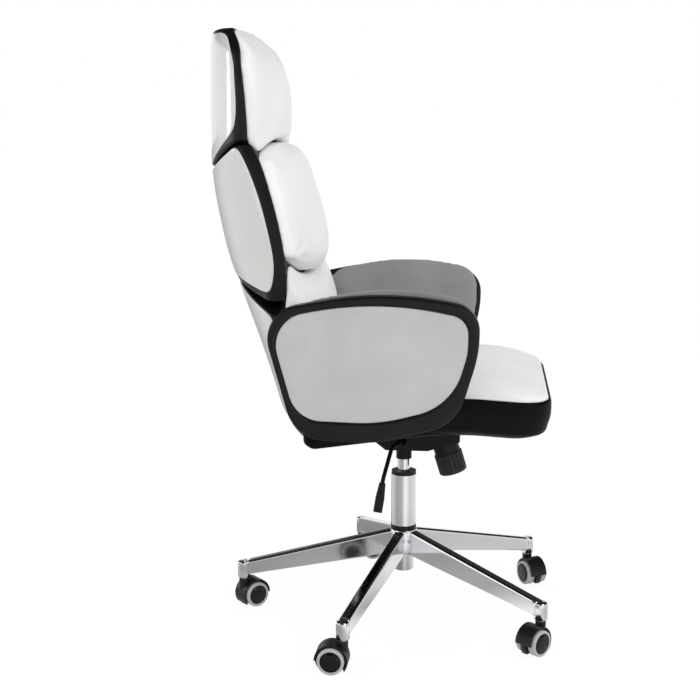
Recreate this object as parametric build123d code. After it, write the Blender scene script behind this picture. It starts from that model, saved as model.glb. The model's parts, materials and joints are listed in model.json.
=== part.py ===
from build123d import *
import os
from math import cos, radians, sin, tan

# High-back swivel office chair. Millimetres, +Z up, the sitter faces -Y.
# The origin lies on the floor, on the axis of the gas lift.

# Clearances
shaft_gap = 0.06
fit_gap = 0.05
part_gap = 0.3
body_gap = 0.5

# Casters
caster_count = 5
caster_circle = 326.0
caster_headings = (-48.0, 88.0, 138.0, 210.0, -60.0)
wheel_diameter = 50.0
wheel_width = 17.0
wheel_spacing = 12.0
wheel_rub_gap = 1.0
wheel_cap = 4.0
tyre_depth = 5.5
tyre_round = 2.5
axle_diameter = 8.0
caster_trail = 20.0
hood_gap = 2.5
hood_wall = 3.5
hood_side_reveal = 5.0
hood_floor_gap = 6.0
hood_lead_angle = 215.0
hood_neck_diameter = 20.0
hood_neck_height = 7.0
stem_diameter = 11.0
stem_collar_diameter = 17.0
stem_collar_height = 3.0
stem_grip_length = 28.0
stem_root_length = 12.0

# Five-legged base
first_leg_angle = 92.0
leg_root_width = 22.0
leg_tip_width = 22.0
leg_root_height = 51.0
leg_root_rise = 4.0
leg_tip_height = 28.0
leg_fall = 78.0
leg_top_bevel = 5.0
socket_length = 34.0
socket_diameter = 25.0
socket_cap = 5.0
hub_diameter = 54.0
hub_neck_diameter = 42.0
hub_neck_length = 38.0
hub_wall = 3.0
hub_taper = 2.0

# Gas lift
column_diameter = 50.0
column_wall = 2.0
column_exposed = 104.0
column_foot_plate = 5.0
column_foot_lift = 2.0
column_core_wall = 4.0
hub_ring_height = 9.0
hub_ring_diameter = 51.0
bush_flange_height = 7.0
bush_flange_diameter = 49.0
bush_length = 74.0
cylinder_diameter = 25.0
cylinder_wall = 2.5
cylinder_cap = 6.0
cylinder_exposed = 25.0
rod_diameter = 10.0
rod_collar_diameter = 22.0
rod_collar_height = 6.0
rod_tail = 8.0
bearing_height = 6.0
bearing_diameter = 27.0
clip_height = 3.0
clip_diameter = 18.0
piston_height = 12.0
piston_head_room = 20.0
foot_room = 8.0
valve_diameter = 7.0
valve_travel = 4.5
valve_proud = 8.5

# Tilt mechanism
boot_diameter = 31.0
boot_length = 32.0
housing_width = 136.0
housing_wall = 3.0
housing_front = -112.0
housing_knee = -50.0
housing_rear = 60.0
housing_heel = 32.0
housing_heel_rise = 22.0
housing_front_height = 56.0
tilt_axle_y = -35.0
tilt_axle_height = 36.0
tilt_axle_diameter = 12.0
tilt_limit = 14.0
tilt_margin = 1.5
plate_height = 62.0
plate_thickness = 4.0
plate_width = 192.0
plate_front = -130.0
plate_rear = 70.0
ear_thickness = 4.0
ear_half_length = 26.0
ear_drop = 12.0
axle_overhang = 2.0

# Tilt tension spring and its knob
tension_lean = 17.0
tension_y = -79.0
bolt_diameter = 10.0
bolt_head_diameter = 24.0
bolt_head_height = 6.0
bolt_thread_stop = 1.5
bolt_slot_width = 22.0
bolt_slot_length = 44.0
cup_diameter = 51.0
cup_wall = 3.5
cup_length = 38.0
cup_roof = 3.0
knob_diameter = 56.0
knob_top = 29.0
knob_length = 41.0
knob_floor = 8.0
knob_flutes = 20
knob_flute_radius = 1.6
spring_diameter = 41.0
spring_bore = 29.0

# Height lever
lever_diameter = 8.0
lever_pivot_x = -45.0
lever_inner_reach = 8.0
lever_elbow_x = -76.0
# Corners of the lever outside the housing: x, y, height over the lever's inner end
lever_turn = (-106.0, 17.0, -3.0)
lever_knee = (-148.0, 30.5, -54.5)
lever_end = (-151.5, 34.0, -77.5)
lever_bend = 22.0
lever_boss_diameter = 14.0
lever_boss_length = 16.0
lever_pin_diameter = 6.0
lever_ear_thickness = 4.0
lever_ear_length = 16.0
lever_slot_diameter = 17.0
grip_length = 56.0
grip_width = 17.0
grip_thickness = 12.0
grip_round = 4.0
grip_overlap = 16.0

# Seat
seat_plate_gap = 8.0
seat_half_width = 230.0
seat_front = -280.0
seat_rear = 150.0
seat_corner = 62.0
seat_corner_least = 24.0
# Each seat level: height over the seat's underside, side inset, front inset, rear inset
seat_levels = (
    (0.0, 16.0, 26.0, 26.0),
    (20.0, 4.0, 11.0, 11.0),
    (46.0, 0.0, 0.0, 0.0),
    (66.0, 4.0, 4.0, 4.0),
    (74.0, 3.0, 28.0, 3.0),
    (81.0, 10.0, 46.0, 4.0),
    (87.0, 26.0, 62.0, 6.0),
    (92.0, 52.0, 84.0, 10.0),
    (96.0, 90.0, 115.0, 20.0),
    (98.5, 130.0, 150.0, 45.0),
)
seam_height = 66.0
seam_front_drop = 8.0
seam_front_run = 60.0
# Apron under the seat: (y, depth under the seat's underside) along its lower edge
apron_edge = ((-250.0, 8.0), (-60.0, 8.0), (149.0, 40.0))
apron_rear = 163.0
apron_side_inset = 20.0
apron_plate_gap = 8.0
board_thickness = 18.0
board_inset = 34.0
board_corner = 40.0
board_hole_diameter = 44.0
seat_bolt_diameter = 8.0
seat_bolt_head = 13.0
seat_bolt_head_height = 5.0
seat_bolt_depth = 14.0
seat_bolt_x = 83.0
seat_bolt_front = -100.0
seat_bolt_rear = 55.0
spine_bolt_x = 12.0
spine_bolt_inset = 14.0

# Arms. Corners of the outer loop: (y, height over the seat's underside, corner radius)
arm_loop = (
    (244.0, 225.0, 62.0),
    (23.0, 269.0, 640.0),
    (-147.0, 236.0, 49.0),
    (-147.0, 159.0, 235.0),
    (-109.0, 30.0, 84.0),
    (33.0, -7.5, 200.0),
    (180.0, -4.5, 75.0),
)
# Widths of the loop's band along each side that follows the corner above
arm_band = (15.0, 19.0, 19.0, 18.0, 33.0, 35.0, 11.0)
arm_inner_radii = (60.0, 600.0, 34.0, 120.0, 110.0, 300.0, 60.0)
# The pad's edge inside the loop, side by side; a negative value stands proud of it
pad_inset = (-1.0, -6.0, 5.0, 5.0, 12.0, 12.0, 48.0)
pad_radii = (60.0, 480.0, 46.0, 180.0, 80.0, 140.0, 60.0)
arm_standoff = 50.0
arm_outer_x = seat_half_width + arm_standoff
arm_frame_width = 30.0
arm_edge_round = 5.0
arm_panel_recess = 4.0
arm_panel_thickness = 10.0
pad_thickness = 17.5
pad_crown = 9.0
pad_crown_depth = 8.0
arm_bolt_diameter = 8.0
arm_bolt_head = 15.0
arm_bolt_head_height = 5.0
arm_bolt_bite = 20.0
arm_stud_y = (14.0, 100.0)
arm_stud_height = 10.0
arm_back_bolt = (211.5, 190.0)
arm_block_size = (17.0, 44.0)
arm_tab_thickness = 8.0

# Back. Each level: height over the seat's underside, half width, rear face at the centre,
# panel edge, frame front at the side, cushion front at the centre
headrest_levels = (
    (440.0, 178.0, 373.0, 306.0, 286.0, 270.0),
    (520.0, 192.0, 374.0, 297.0, 275.0, 240.0),
    (585.0, 194.0, 374.0, 296.0, 277.0, 231.0),
    (650.0, 190.0, 373.0, 299.0, 284.0, 244.0),
    (700.0, 168.0, 372.0, 309.0, 294.0, 270.0),
    (724.0, 122.0, 370.0, 326.0, 312.0, 303.0),
)
middle_levels = (
    (228.0, 228.0, 313.0, 236.0, 204.0, 174.0),
    (300.0, 234.0, 341.0, 223.0, 201.0, 161.0),
    (370.0, 228.0, 358.0, 236.0, 213.0, 170.0),
    (430.0, 218.0, 369.0, 254.0, 230.0, 187.0),
    (490.0, 206.0, 374.0, 280.0, 252.0, 207.0),
    (524.0, 196.0, 374.0, 300.0, 272.0, 226.0),
)
lumbar_levels = (
    (-58.0, 112.0, 204.0, 160.0, 146.0, 138.0),
    (-30.0, 142.0, 223.0, 180.0, 158.0, 150.0),
    (12.0, 160.0, 242.0, 196.0, 172.0, 160.0),
    (60.0, 178.0, 256.0, 206.0, 186.0, 165.0),
    (150.0, 226.0, 283.0, 220.0, 196.0, 142.0),
    (215.0, 234.0, 308.0, 226.0, 198.0, 145.0),
    (275.0, 230.0, 330.0, 236.0, 196.0, 163.0),
    (320.0, 224.0, 342.0, 246.0, 197.0, 178.0),
)
# Upper and lower edge of each rear panel: height at the sides, height at the centre, half width there
headrest_edges = ((712.0, 718.0, 160.0), (552.0, 468.0, 194.0))
middle_edges = ((514.0, 455.0, 204.0), (250.0, 274.0, 234.0))
lumbar_edges = ((208.0, 256.0, 234.0), (8.0, -6.0, 150.0))
# The lumbar frame runs on under its panel
lumbar_frame_low = (-40.0, -52.0, 110.0)
# Upper and lower edge of each cushion
headrest_cushion_edges = ((714.0, 720.0, 160.0), (493.0, 524.0, 194.0))
middle_cushion_edges = ((491.0, 516.0, 204.0), (317.0, 273.0, 234.0))
lumbar_cushion_edges = ((311.0, 267.0, 234.0), (84.0, 80.0, 190.0))
panel_thickness = 4.0
panel_reveal = 6.0
frame_wall = 12.0
frame_rear_wall = 5.0
cushion_inset = 4.0
cushion_draw = 6.0
cushion_side_share = 0.55
outline_reach = 320.0

# Steel spine that ties the back to the seat: (y, height over the seat's underside)
spine_points = ((78.0, -3.5), (212.0, -3.5), (250.0, 100.0), (305.0, 250.0), (350.0, 430.0), (352.5, 630.0))
spine_bends = (18.0, 60.0, 200.0, 200.0)
spine_thickness = 6.0
spine_width = 45.0
spine_slot_gap = 0.4

# Heights that follow from the sizes above
wheel_radius = wheel_diameter / 2
hood_radius = wheel_radius + hood_gap + hood_wall
neck_top = hood_radius + wheel_radius + hood_neck_height - hood_wall
socket_bottom = neck_top + stem_collar_height + part_gap
leg_tip_top = socket_bottom + socket_length
hub_top = leg_tip_top + leg_fall
hub_step = hub_top + leg_root_rise - leg_root_height
hub_bottom = hub_step - hub_neck_length
ring_top = hub_top + hub_ring_height
column_top = ring_top + column_exposed
bush_top = column_top + bush_flange_height
boot_bottom = bush_top + cylinder_exposed
housing_bottom = boot_bottom + boot_length
foot_plate_bottom = hub_bottom + column_foot_lift
foot_plate_top = foot_plate_bottom + column_foot_plate
collar_bottom = foot_plate_top + bearing_height + part_gap
cylinder_bottom = collar_bottom + rod_collar_height + foot_room
cylinder_top = housing_bottom + cylinder_cap
valve_top = cylinder_top + valve_proud
lever_z = valve_top + part_gap + lever_diameter / 2
tilt_axle_z = housing_bottom + tilt_axle_height
plate_bottom = housing_bottom + plate_height
plate_top = plate_bottom + plate_thickness
seat_z = plate_top + seat_plate_gap
board_top = seat_z + board_thickness
tension_base_z = housing_bottom + (housing_knee - tension_y) * tan(radians(tension_lean))
hub_bore_bottom = hub_neck_diameter / 2 - hub_wall
hub_bore_top = hub_bore_bottom + hub_taper


def turned(profile):
    """Solid of revolution about Z through (radius, z) points."""
    outline = Polyline(*[(r, 0, z) for r, z in profile], close=True)
    return revolve(make_face(outline), Axis.Z)


def rod(radius, low, high):
    return Pos(0, 0, low) * Cylinder(radius, high - low, align=(Align.CENTER, Align.CENTER, Align.MIN))


def tube(outer, inner, low, high):
    return rod(outer, low, high) - rod(inner, low, high)


def cross_rod(radius, x_low, x_high, y, z):
    """Round bar along X."""
    bar = Rot(0, 90, 0) * Cylinder(radius, x_high - x_low, align=(Align.CENTER, Align.CENTER, Align.MIN))
    return Pos(x_low, y, z) * bar


def slab(x_low, x_high, y_low, y_high, z_low, z_high):
    block = Box(x_high - x_low, y_high - y_low, z_high - z_low, align=(Align.MIN,) * 3)
    return Pos(x_low, y_low, z_low) * block


def side_prism(points, x_low, x_high):
    """Prism along X over a (y, z) polygon."""
    face = make_face(Polyline(*[(x_low, y, z) for y, z in points], close=True))
    return extrude(face, amount=x_high - x_low, dir=(1, 0, 0))


def merged(parts):
    total = parts[0]
    for part in parts[1:]:
        total = total + part
    return total


def write(name, *solids):
    shape = solids[0] if len(solids) == 1 else Compound(children=[s for s in solids])
    export_step(shape, f"parts/{name}.step")


def caster_hood():
    """Hood round a wheel pair, trailing along +X from the stem axis."""
    web = wheel_spacing - 2 * wheel_rub_gap
    width = 2 * wheel_width + wheel_spacing - 2 * hood_side_reveal
    turn = Pos(caster_trail, 0, wheel_radius) * Rot(90, 0, 0)
    shroud = turn * Cylinder(hood_radius, width)
    shroud = shroud - slab(-2 * hood_radius, 3 * hood_radius, -width, width, -hood_radius, hood_floor_gap)
    neck_low = wheel_radius + hood_gap
    shroud = shroud + rod(hood_neck_diameter / 2, neck_low, neck_top)
    pocket = turn * Cylinder(wheel_radius + hood_gap, 3 * width)
    reach = 2 * hood_radius
    lead = radians(hood_lead_angle)
    lead_x = caster_trail + reach * cos(lead)
    lead_z = wheel_radius + reach * sin(lead)
    gap_points = (
        (caster_trail, wheel_radius),
        (lead_x, lead_z),
        (caster_trail, -reach),
        (caster_trail + reach, -reach),
        (caster_trail + reach, wheel_radius),
    )
    outline = make_face(Polyline(*[(x, -2 * width, z) for x, z in gap_points], close=True))
    opening = extrude(outline, amount=4 * width, dir=(0, 1, 0))
    beside = slab(-reach, 2 * reach, web / 2, 2 * width, -reach, 2 * reach)
    beside = beside + mirror(beside, Plane.XZ)
    hood = shroud - (pocket + opening) & shroud
    hood = (shroud & (pocket + opening)) - beside + hood
    axle_bore = turn * Cylinder(axle_diameter / 2 + fit_gap, 2 * width)
    stem_bore = rod(stem_diameter / 2 + fit_gap, neck_top - stem_root_length, neck_top + hood_wall)
    return hood - axle_bore - stem_bore


def caster_pins():
    """Grip stem with its collar, and the wheel axle."""
    stem = rod(stem_diameter / 2, neck_top - stem_root_length + fit_gap, socket_bottom + stem_grip_length)
    stem = stem + rod(stem_collar_diameter / 2, neck_top + fit_gap, neck_top + stem_collar_height)
    length = 2 * (wheel_spacing / 2 + wheel_width - wheel_cap - part_gap)
    axle = Pos(caster_trail, 0, wheel_radius) * Rot(90, 0, 0) * Cylinder(axle_diameter / 2, length)
    return stem, axle


def caster_wheel(side):
    """Wheel core with a closed outer face, and its tyre."""
    core_radius = wheel_radius - tyre_depth
    centre = Pos(caster_trail, side * (wheel_spacing + wheel_width) / 2, wheel_radius)
    lay = centre * Rot(-90 * side, 0, 0)
    core = Cylinder(core_radius - fit_gap, wheel_width)
    core = core - Pos(0, 0, -wheel_cap) * Cylinder(axle_diameter / 2 + shaft_gap, wheel_width)
    tread = Cylinder(wheel_radius, wheel_width)
    tread = fillet(tread.edges().filter_by(GeomType.CIRCLE), tyre_round)
    tread = tread - Cylinder(core_radius, wheel_width)
    return lay * core, lay * tread


def leg_section(radius, width, top, height):
    """Cross section of a leg that points along +X, with bevelled upper edges."""
    half = width / 2
    low = top - height
    shoulder = top - leg_top_bevel
    points = (
        (radius, -half, low),
        (radius, half, low),
        (radius, half, shoulder),
        (radius, half - leg_top_bevel, top),
        (radius, leg_top_bevel - half, top),
        (radius, -half, shoulder),
    )
    return make_face(Polyline(*points, close=True))


def base_star():
    bore_end = hub_top + hub_ring_height
    hub = turned(
        (
            (0, hub_bottom),
            (hub_neck_diameter / 2, hub_bottom),
            (hub_neck_diameter / 2, hub_step),
            (hub_diameter / 2, hub_step),
            (hub_diameter / 2, hub_top),
            (0, hub_top),
        )
    )
    root = leg_section(0, leg_root_width, hub_top + leg_root_rise, leg_root_height)
    tip = leg_section(caster_circle, leg_tip_width, leg_tip_top, leg_tip_height)
    leg = loft([root, tip], ruled=True)
    socket = Pos(caster_circle, 0, 0) * rod(socket_diameter / 2, socket_bottom, leg_tip_top)
    leg = leg + socket
    bore_radius = stem_diameter / 2 + shaft_gap
    stem_bore = Pos(caster_circle, 0, 0) * rod(bore_radius, socket_bottom, leg_tip_top - socket_cap)
    star = hub
    for k in range(caster_count):
        star = star + Rot(0, 0, leg_angle(k)) * leg
    for k in range(caster_count):
        star = star - Rot(0, 0, leg_angle(k)) * stem_bore
    taper = turned(
        (
            (0, hub_bottom),
            (hub_bore_bottom, hub_bottom),
            (hub_bore_top, hub_top),
            (hub_diameter, hub_top),
            (hub_diameter, bore_end),
            (0, bore_end),
        )
    )
    return star - taper


def leg_angle(k):
    return first_leg_angle + k * 360 / caster_count


def column_tube():
    """Outer tube of the lift: a cone in the hub, a foot plate, and the wide tube above."""
    slope = (hub_bore_top - hub_bore_bottom) / (hub_top - hub_bottom)
    foot_radius = hub_bore_bottom + slope * (foot_plate_bottom - hub_bottom) - fit_gap
    neck_radius = hub_bore_top - fit_gap
    core_radius = foot_radius - column_core_wall
    outer = column_diameter / 2
    return turned(
        (
            (rod_diameter / 2 + shaft_gap, foot_plate_bottom),
            (foot_radius, foot_plate_bottom),
            (neck_radius, hub_top),
            (neck_radius, ring_top),
            (outer, ring_top),
            (outer, column_top),
            (outer - column_wall, column_top),
            (outer - column_wall, ring_top + column_wall),
            (core_radius, ring_top),
            (core_radius, foot_plate_top),
            (rod_diameter / 2 + shaft_gap, foot_plate_top),
        )
    )


def guide_bush():
    inner = cylinder_diameter / 2 + shaft_gap
    outer = column_diameter / 2 - column_wall - fit_gap
    return turned(
        (
            (inner, bush_top - bush_length),
            (outer, bush_top - bush_length),
            (outer, column_top),
            (bush_flange_diameter / 2, column_top),
            (bush_flange_diameter / 2, bush_top),
            (inner, bush_top),
        )
    )


def gas_cylinder():
    bore = cylinder_diameter / 2 - cylinder_wall
    body = tube(cylinder_diameter / 2, bore, cylinder_bottom, cylinder_top)
    foot = tube(bore, rod_diameter / 2 + shaft_gap, cylinder_bottom, cylinder_bottom + cylinder_cap)
    head_low = cylinder_top - cylinder_cap - valve_travel
    head = rod(bore, head_low, cylinder_top) - rod(valve_diameter / 2 + shaft_gap, head_low, cylinder_top)
    return body + foot + head


def piston_rod():
    bore = cylinder_diameter / 2 - cylinder_wall
    piston_top = cylinder_top - cylinder_cap - valve_travel - piston_head_room
    shaft = rod(rod_diameter / 2, foot_plate_bottom - rod_tail, piston_top)
    collar = rod(rod_collar_diameter / 2, collar_bottom, collar_bottom + rod_collar_height)
    piston = rod(bore - shaft_gap, piston_top - piston_height, piston_top)
    return shaft + collar + piston


def mechanism_housing():
    """Pressed steel box with a socket for the lift, open at the top."""
    knee_rise = (housing_knee - housing_front) * tan(radians(tension_lean))
    front_low = housing_bottom + knee_rise
    front_top = housing_bottom + housing_front_height
    fall = (housing_rear - tilt_axle_y) * tan(radians(tilt_limit + tilt_margin))
    rear_top = front_top - fall
    heel_top = housing_bottom + housing_heel_rise
    outer = (
        (housing_rear, heel_top),
        (housing_heel, housing_bottom),
        (housing_knee, housing_bottom),
        (housing_front, front_low),
        (housing_front, front_top),
        (tilt_axle_y, front_top),
        (housing_rear, rear_top),
    )
    lift = 2 * plate_height
    inner = (
        (housing_rear - housing_wall, heel_top + housing_wall / 2),
        (housing_heel - housing_wall / 2, housing_bottom + housing_wall),
        (housing_knee, housing_bottom + housing_wall),
        (housing_front + housing_wall, front_low + housing_wall),
        (housing_front + housing_wall, front_top + lift),
        (housing_rear - housing_wall, front_top + lift),
    )
    half = housing_width / 2
    box = side_prism(outer, -half, half) - side_prism(inner, housing_wall - half, half - housing_wall)
    boot = rod(boot_diameter / 2, boot_bottom, housing_bottom + housing_wall)
    ear_low = housing_bottom + housing_wall / 2
    ear_high = lever_z + lever_boss_diameter / 2
    ear_y = lever_boss_length / 2 + body_gap
    ear_x = lever_pivot_x - lever_ear_length / 2
    ear = slab(ear_x, ear_x + lever_ear_length, ear_y, ear_y + lever_ear_thickness, ear_low, ear_high)
    body = box + boot + ear + mirror(ear, Plane.XZ)
    body = body - rod(cylinder_diameter / 2 + fit_gap, boot_bottom, housing_bottom + lift)
    pin = Pos(lever_pivot_x, 0, lever_z) * Rot(90, 0, 0)
    body = body - pin * Cylinder(lever_pin_diameter / 2 + fit_gap, 4 * ear_y)
    body = body - cross_rod(lever_slot_diameter / 2, -2 * half, housing_wall - half + body_gap, 0, lever_z)
    axle_bore = tilt_axle_diameter / 2 + shaft_gap
    body = body - cross_rod(axle_bore, -2 * half, 2 * half, tilt_axle_y, tilt_axle_z)
    return body - tension_axis() * rod(bolt_diameter / 2 + body_gap, -cup_length, cup_length)


def tension_axis():
    """Frame on the housing's front underside, +Z up along the tension bolt."""
    return Pos(0, tension_y, tension_base_z) * Rot(-tension_lean, 0, 0)


def bolt_seat():
    """Distance along the tension bolt from the housing to the head's underside."""
    lean = radians(tension_lean)
    return (plate_top - tension_base_z) / cos(lean) + bolt_head_diameter / 2 * tan(lean) + body_gap


def bolt_y_at(z):
    return tension_y + (z - tension_base_z) * tan(radians(tension_lean))


def spring_cup():
    shell = tube(cup_diameter / 2, cup_diameter / 2 - cup_wall, -cup_length, 0)
    roof = tube(cup_diameter / 2, bolt_diameter / 2 + body_gap, -cup_roof, 0)
    return tension_axis() * Pos(0, 0, -fit_gap) * (shell + roof)


def tension_spring():
    top = -cup_roof - part_gap
    return tension_axis() * tube(spring_diameter / 2, spring_bore / 2, knob_floor_top() + part_gap, top)


def knob_floor_top():
    return knob_floor - knob_top - knob_length


def tension_knob():
    low = -knob_top - knob_length
    body = rod(knob_diameter / 2, low, -knob_top)
    body = fillet(body.edges().group_by(Axis.Z)[0], knob_floor / 2)
    body = body - rod(cup_diameter / 2 + body_gap, knob_floor_top(), 0)
    thread_low = low + bolt_thread_stop
    body = body - rod(bolt_diameter / 2 + shaft_gap, thread_low, 0)
    flute = Pos(knob_diameter / 2, 0, 0) * rod(knob_flute_radius, low + knob_floor, 0)
    for k in range(knob_flutes):
        body = body - Rot(0, 0, k * 360 / knob_flutes) * flute
    return tension_axis() * body


def tension_bolt():
    low = -knob_top - knob_length + bolt_thread_stop + part_gap
    seat = bolt_seat()
    shank = rod(bolt_diameter / 2, low, seat)
    head = rod(bolt_head_diameter / 2, seat, seat + bolt_head_height)
    return tension_axis() * (shank + head)


def seat_plate():
    """Steel plate under the seat with two ears that hang on the tilt axle."""
    half = plate_width / 2
    plate = slab(-half, half, plate_front, plate_rear, plate_bottom, plate_top)
    ear_x = housing_width / 2 + body_gap
    ear_low = tilt_axle_z - ear_drop
    ear_y = tilt_axle_y - ear_half_length
    ear = slab(ear_x, ear_x + ear_thickness, ear_y, ear_y + 2 * ear_half_length, ear_low, plate_bottom)
    plate = plate + ear + mirror(ear, Plane.YZ)
    bore = tilt_axle_diameter / 2 + fit_gap
    plate = plate - cross_rod(bore, -half, half, tilt_axle_y, tilt_axle_z)
    slot = slab(
        -bolt_slot_width / 2,
        bolt_slot_width / 2,
        bolt_y_at(plate_top) - bolt_slot_length / 2,
        bolt_y_at(plate_top) + bolt_slot_length / 2,
        plate_bottom,
        plate_top,
    )
    for x, y in seat_bolt_places():
        plate = plate - Pos(x, y, 0) * rod(seat_bolt_diameter / 2 + fit_gap, plate_bottom, plate_top)
    return plate - slot


def tilt_axle():
    half = housing_width / 2 + body_gap + ear_thickness + axle_overhang
    return cross_rod(tilt_axle_diameter / 2, -half, half, tilt_axle_y, tilt_axle_z)


def seat_bolt_places():
    return [(x, y) for x in (-seat_bolt_x, seat_bolt_x) for y in (seat_bolt_front, seat_bolt_rear)]


def spine_bolt_places():
    y = spine_points[0][0] + spine_bolt_inset
    return [(-spine_bolt_x, y), (spine_bolt_x, y)]


def seat_bolts():
    """Bolts up through the seat plate, and through the spine's foot, into the board."""
    bolts = []
    foot_low = seat_z + spine_points[0][1] - spine_thickness / 2
    places = [(place, plate_bottom) for place in seat_bolt_places()]
    places += [(place, foot_low) for place in spine_bolt_places()]
    for (x, y), low in places:
        shank = rod(seat_bolt_diameter / 2, low - fit_gap, seat_z + seat_bolt_depth)
        head = rod(seat_bolt_head / 2, low - seat_bolt_head_height, low - fit_gap)
        bolts.append(Pos(x, y, 0) * (shank + head))
    return bolts


def lever_path():
    inside = [(lever_inner_reach, 0, lever_z), (lever_elbow_x, 0, lever_z)]
    return inside + [(x, y, lever_z + drop) for x, y, drop in (lever_turn, lever_knee, lever_end)]


def lift_lever():
    line = FilletPolyline(*lever_path(), radius=lever_bend)
    start = Plane(origin=line @ 0, z_dir=line % 0)
    bar = sweep(start * Circle(lever_diameter / 2), path=line)
    turn = Pos(lever_pivot_x, 0, lever_z) * Rot(90, 0, 0)
    boss = turn * Cylinder(lever_boss_diameter / 2, lever_boss_length)
    return bar + boss - turn * Cylinder(lever_pin_diameter / 2 + shaft_gap, lever_boss_length)


def lever_pin():
    length = lever_boss_length + 2 * (body_gap + lever_ear_thickness)
    return Pos(lever_pivot_x, 0, lever_z) * Rot(90, 0, 0) * Cylinder(lever_pin_diameter / 2, length)


def lever_grip():
    """Flat plastic paddle pushed over the end of the lever."""
    knee, end = (Vector(*p) for p in lever_path()[-2:])
    along = (end - knee).normalized()
    frame = Plane(origin=end - along * grip_overlap, x_dir=(0, 1, 0), z_dir=along)
    root = frame * RectangleRounded(grip_thickness, grip_thickness, grip_round)
    wide = RectangleRounded(grip_width, grip_thickness, grip_round)
    middle = frame.offset(grip_length / 2) * wide
    paddle = loft([root, middle, frame.offset(grip_length) * wide], ruled=True)
    bore = extrude(frame * Circle(lever_diameter / 2 + fit_gap), amount=grip_overlap + part_gap)
    return paddle - bore


def seat_section(level, side_inset, front_inset, rear_inset):
    """Rounded rectangle at one height of the seat."""
    half = seat_half_width - side_inset
    front = seat_front + front_inset
    rear = seat_rear - rear_inset
    corner = max(seat_corner_least, seat_corner - side_inset / 2)
    face = RectangleRounded(2 * half, rear - front, corner)
    return Pos(0, (front + rear) / 2, seat_z + level) * face


def seat_form():
    return loft([seat_section(*level) for level in seat_levels], ruled=True)


def seat_apron():
    """Padded underside beside and in front of the seat plate, deeper towards the back."""
    half = seat_half_width - apron_side_inset
    clear = plate_width / 2 + apron_plate_gap
    front = apron_edge[0][0]
    lower = [(y, seat_z - depth) for y, depth in apron_edge]
    profile = [(apron_rear, seat_z), (front, seat_z)] + lower
    side = side_prism(profile, clear, half)
    nose_rear = plate_front - apron_plate_gap
    nose = slab(-clear, clear, front, nose_rear, lower[0][1], seat_z)
    return side + nose + mirror(side, Plane.YZ)


def seam_prism(shift, height):
    """Space above the seam between the seat's top cushion and its side band."""
    seam = seat_z + seam_height + shift
    far = 2 * seat_half_width
    points = (
        (far, seam),
        (seat_front + seam_front_run, seam),
        (seat_front - body_gap, seam - seam_front_drop),
        (seat_front - far, seam - seam_front_drop),
        (seat_front - far, seam + height),
        (far, seam + height),
    )
    return side_prism(points, -far, far)


def board_blank(grow, low, high):
    half = seat_half_width - board_inset + grow
    front = seat_front + board_inset - grow
    rear = seat_rear - board_inset + grow
    face = RectangleRounded(2 * half, rear - front, board_corner + grow)
    return extrude(Pos(0, (front + rear) / 2, low) * face, amount=high - low)


def seat_board():
    board = board_blank(0, seat_z, board_top)
    hole_y = bolt_y_at(seat_z)
    board = board - Pos(0, hole_y, 0) * rod(board_hole_diameter / 2, seat_z, board_top)
    bolt_bore = rod(seat_bolt_diameter / 2 + fit_gap, seat_z, seat_z + seat_bolt_depth)
    for x, y in seat_bolt_places() + spine_bolt_places():
        board = board - Pos(x, y, 0) * bolt_bore
    return board - arm_stud_bores()


def seat_cover(form):
    tall = 3 * seam_height
    cover = form - seam_prism(-part_gap / 2, tall) + seat_apron()
    cover = cover - board_blank(part_gap, seat_z - part_gap, board_top + part_gap)
    return cover - arm_stud_bores()


def seat_cushion(form):
    return form & seam_prism(part_gap / 2, 3 * seam_height)


def loop_face(corners, radii, x):
    points = [(x, y, z) for y, z in corners]
    return make_face(FilletPolyline(*points, radius=radii, close=True))


def inset_loop(corners, insets):
    """Corners of a loop whose sides are moved inwards; side k follows corner k."""
    count = len(corners)
    moved = []
    for k in range(count):
        (y0, z0), (y1, z1) = corners[k], corners[(k + 1) % count]
        length = ((y1 - y0) ** 2 + (z1 - z0) ** 2) ** 0.5
        ny, nz = -(z1 - z0) / length, (y1 - y0) / length
        moved.append((y0 + ny * insets[k], z0 + nz * insets[k], (y1 - y0) / length, (z1 - z0) / length))
    result = []
    for k in range(count):
        ay, az, ady, adz = moved[k - 1]
        by, bz, bdy, bdz = moved[k]
        cross = ady * bdz - adz * bdy
        step = ((by - ay) * bdz - (bz - az) * bdy) / cross
        result.append((ay + ady * step, az + adz * step))
    return result


def arm_corners():
    return [(y, seat_z + height) for y, height, radius in arm_loop]


def arm_frame():
    """Closed loop of moulded plastic on the sitter's left, +X, with a tab for the back's bolt."""
    inner_x = arm_outer_x - arm_frame_width
    radii = [radius for y, height, radius in arm_loop]
    outer = extrude(loop_face(arm_corners(), radii, inner_x), amount=arm_frame_width, dir=(1, 0, 0))
    outer = fillet(outer.faces().sort_by(Axis.X)[-1].edges(), arm_edge_round)
    window_face = loop_face(inset_loop(arm_corners(), arm_band), arm_inner_radii, inner_x)
    window = extrude(window_face, amount=arm_frame_width, dir=(1, 0, 0))
    y, z = arm_back_bolt_place()
    length, tall = arm_block_size
    tab = slab(inner_x, inner_x + arm_tab_thickness, y - length / 2, y + length, z - tall / 2, z + tall / 2)
    body = outer - window + (tab & outer)
    tab_x = inner_x + arm_tab_thickness
    bolt_bore = cross_rod(arm_bolt_diameter / 2 + fit_gap, inner_x, tab_x, y, z)
    panel_x = arm_outer_x - arm_panel_recess - arm_panel_thickness
    head_pocket = cross_rod(arm_bolt_head / 2 + body_gap, tab_x, panel_x, y, z)
    return body - bolt_bore - head_pocket - arm_stud_bores()


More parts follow.
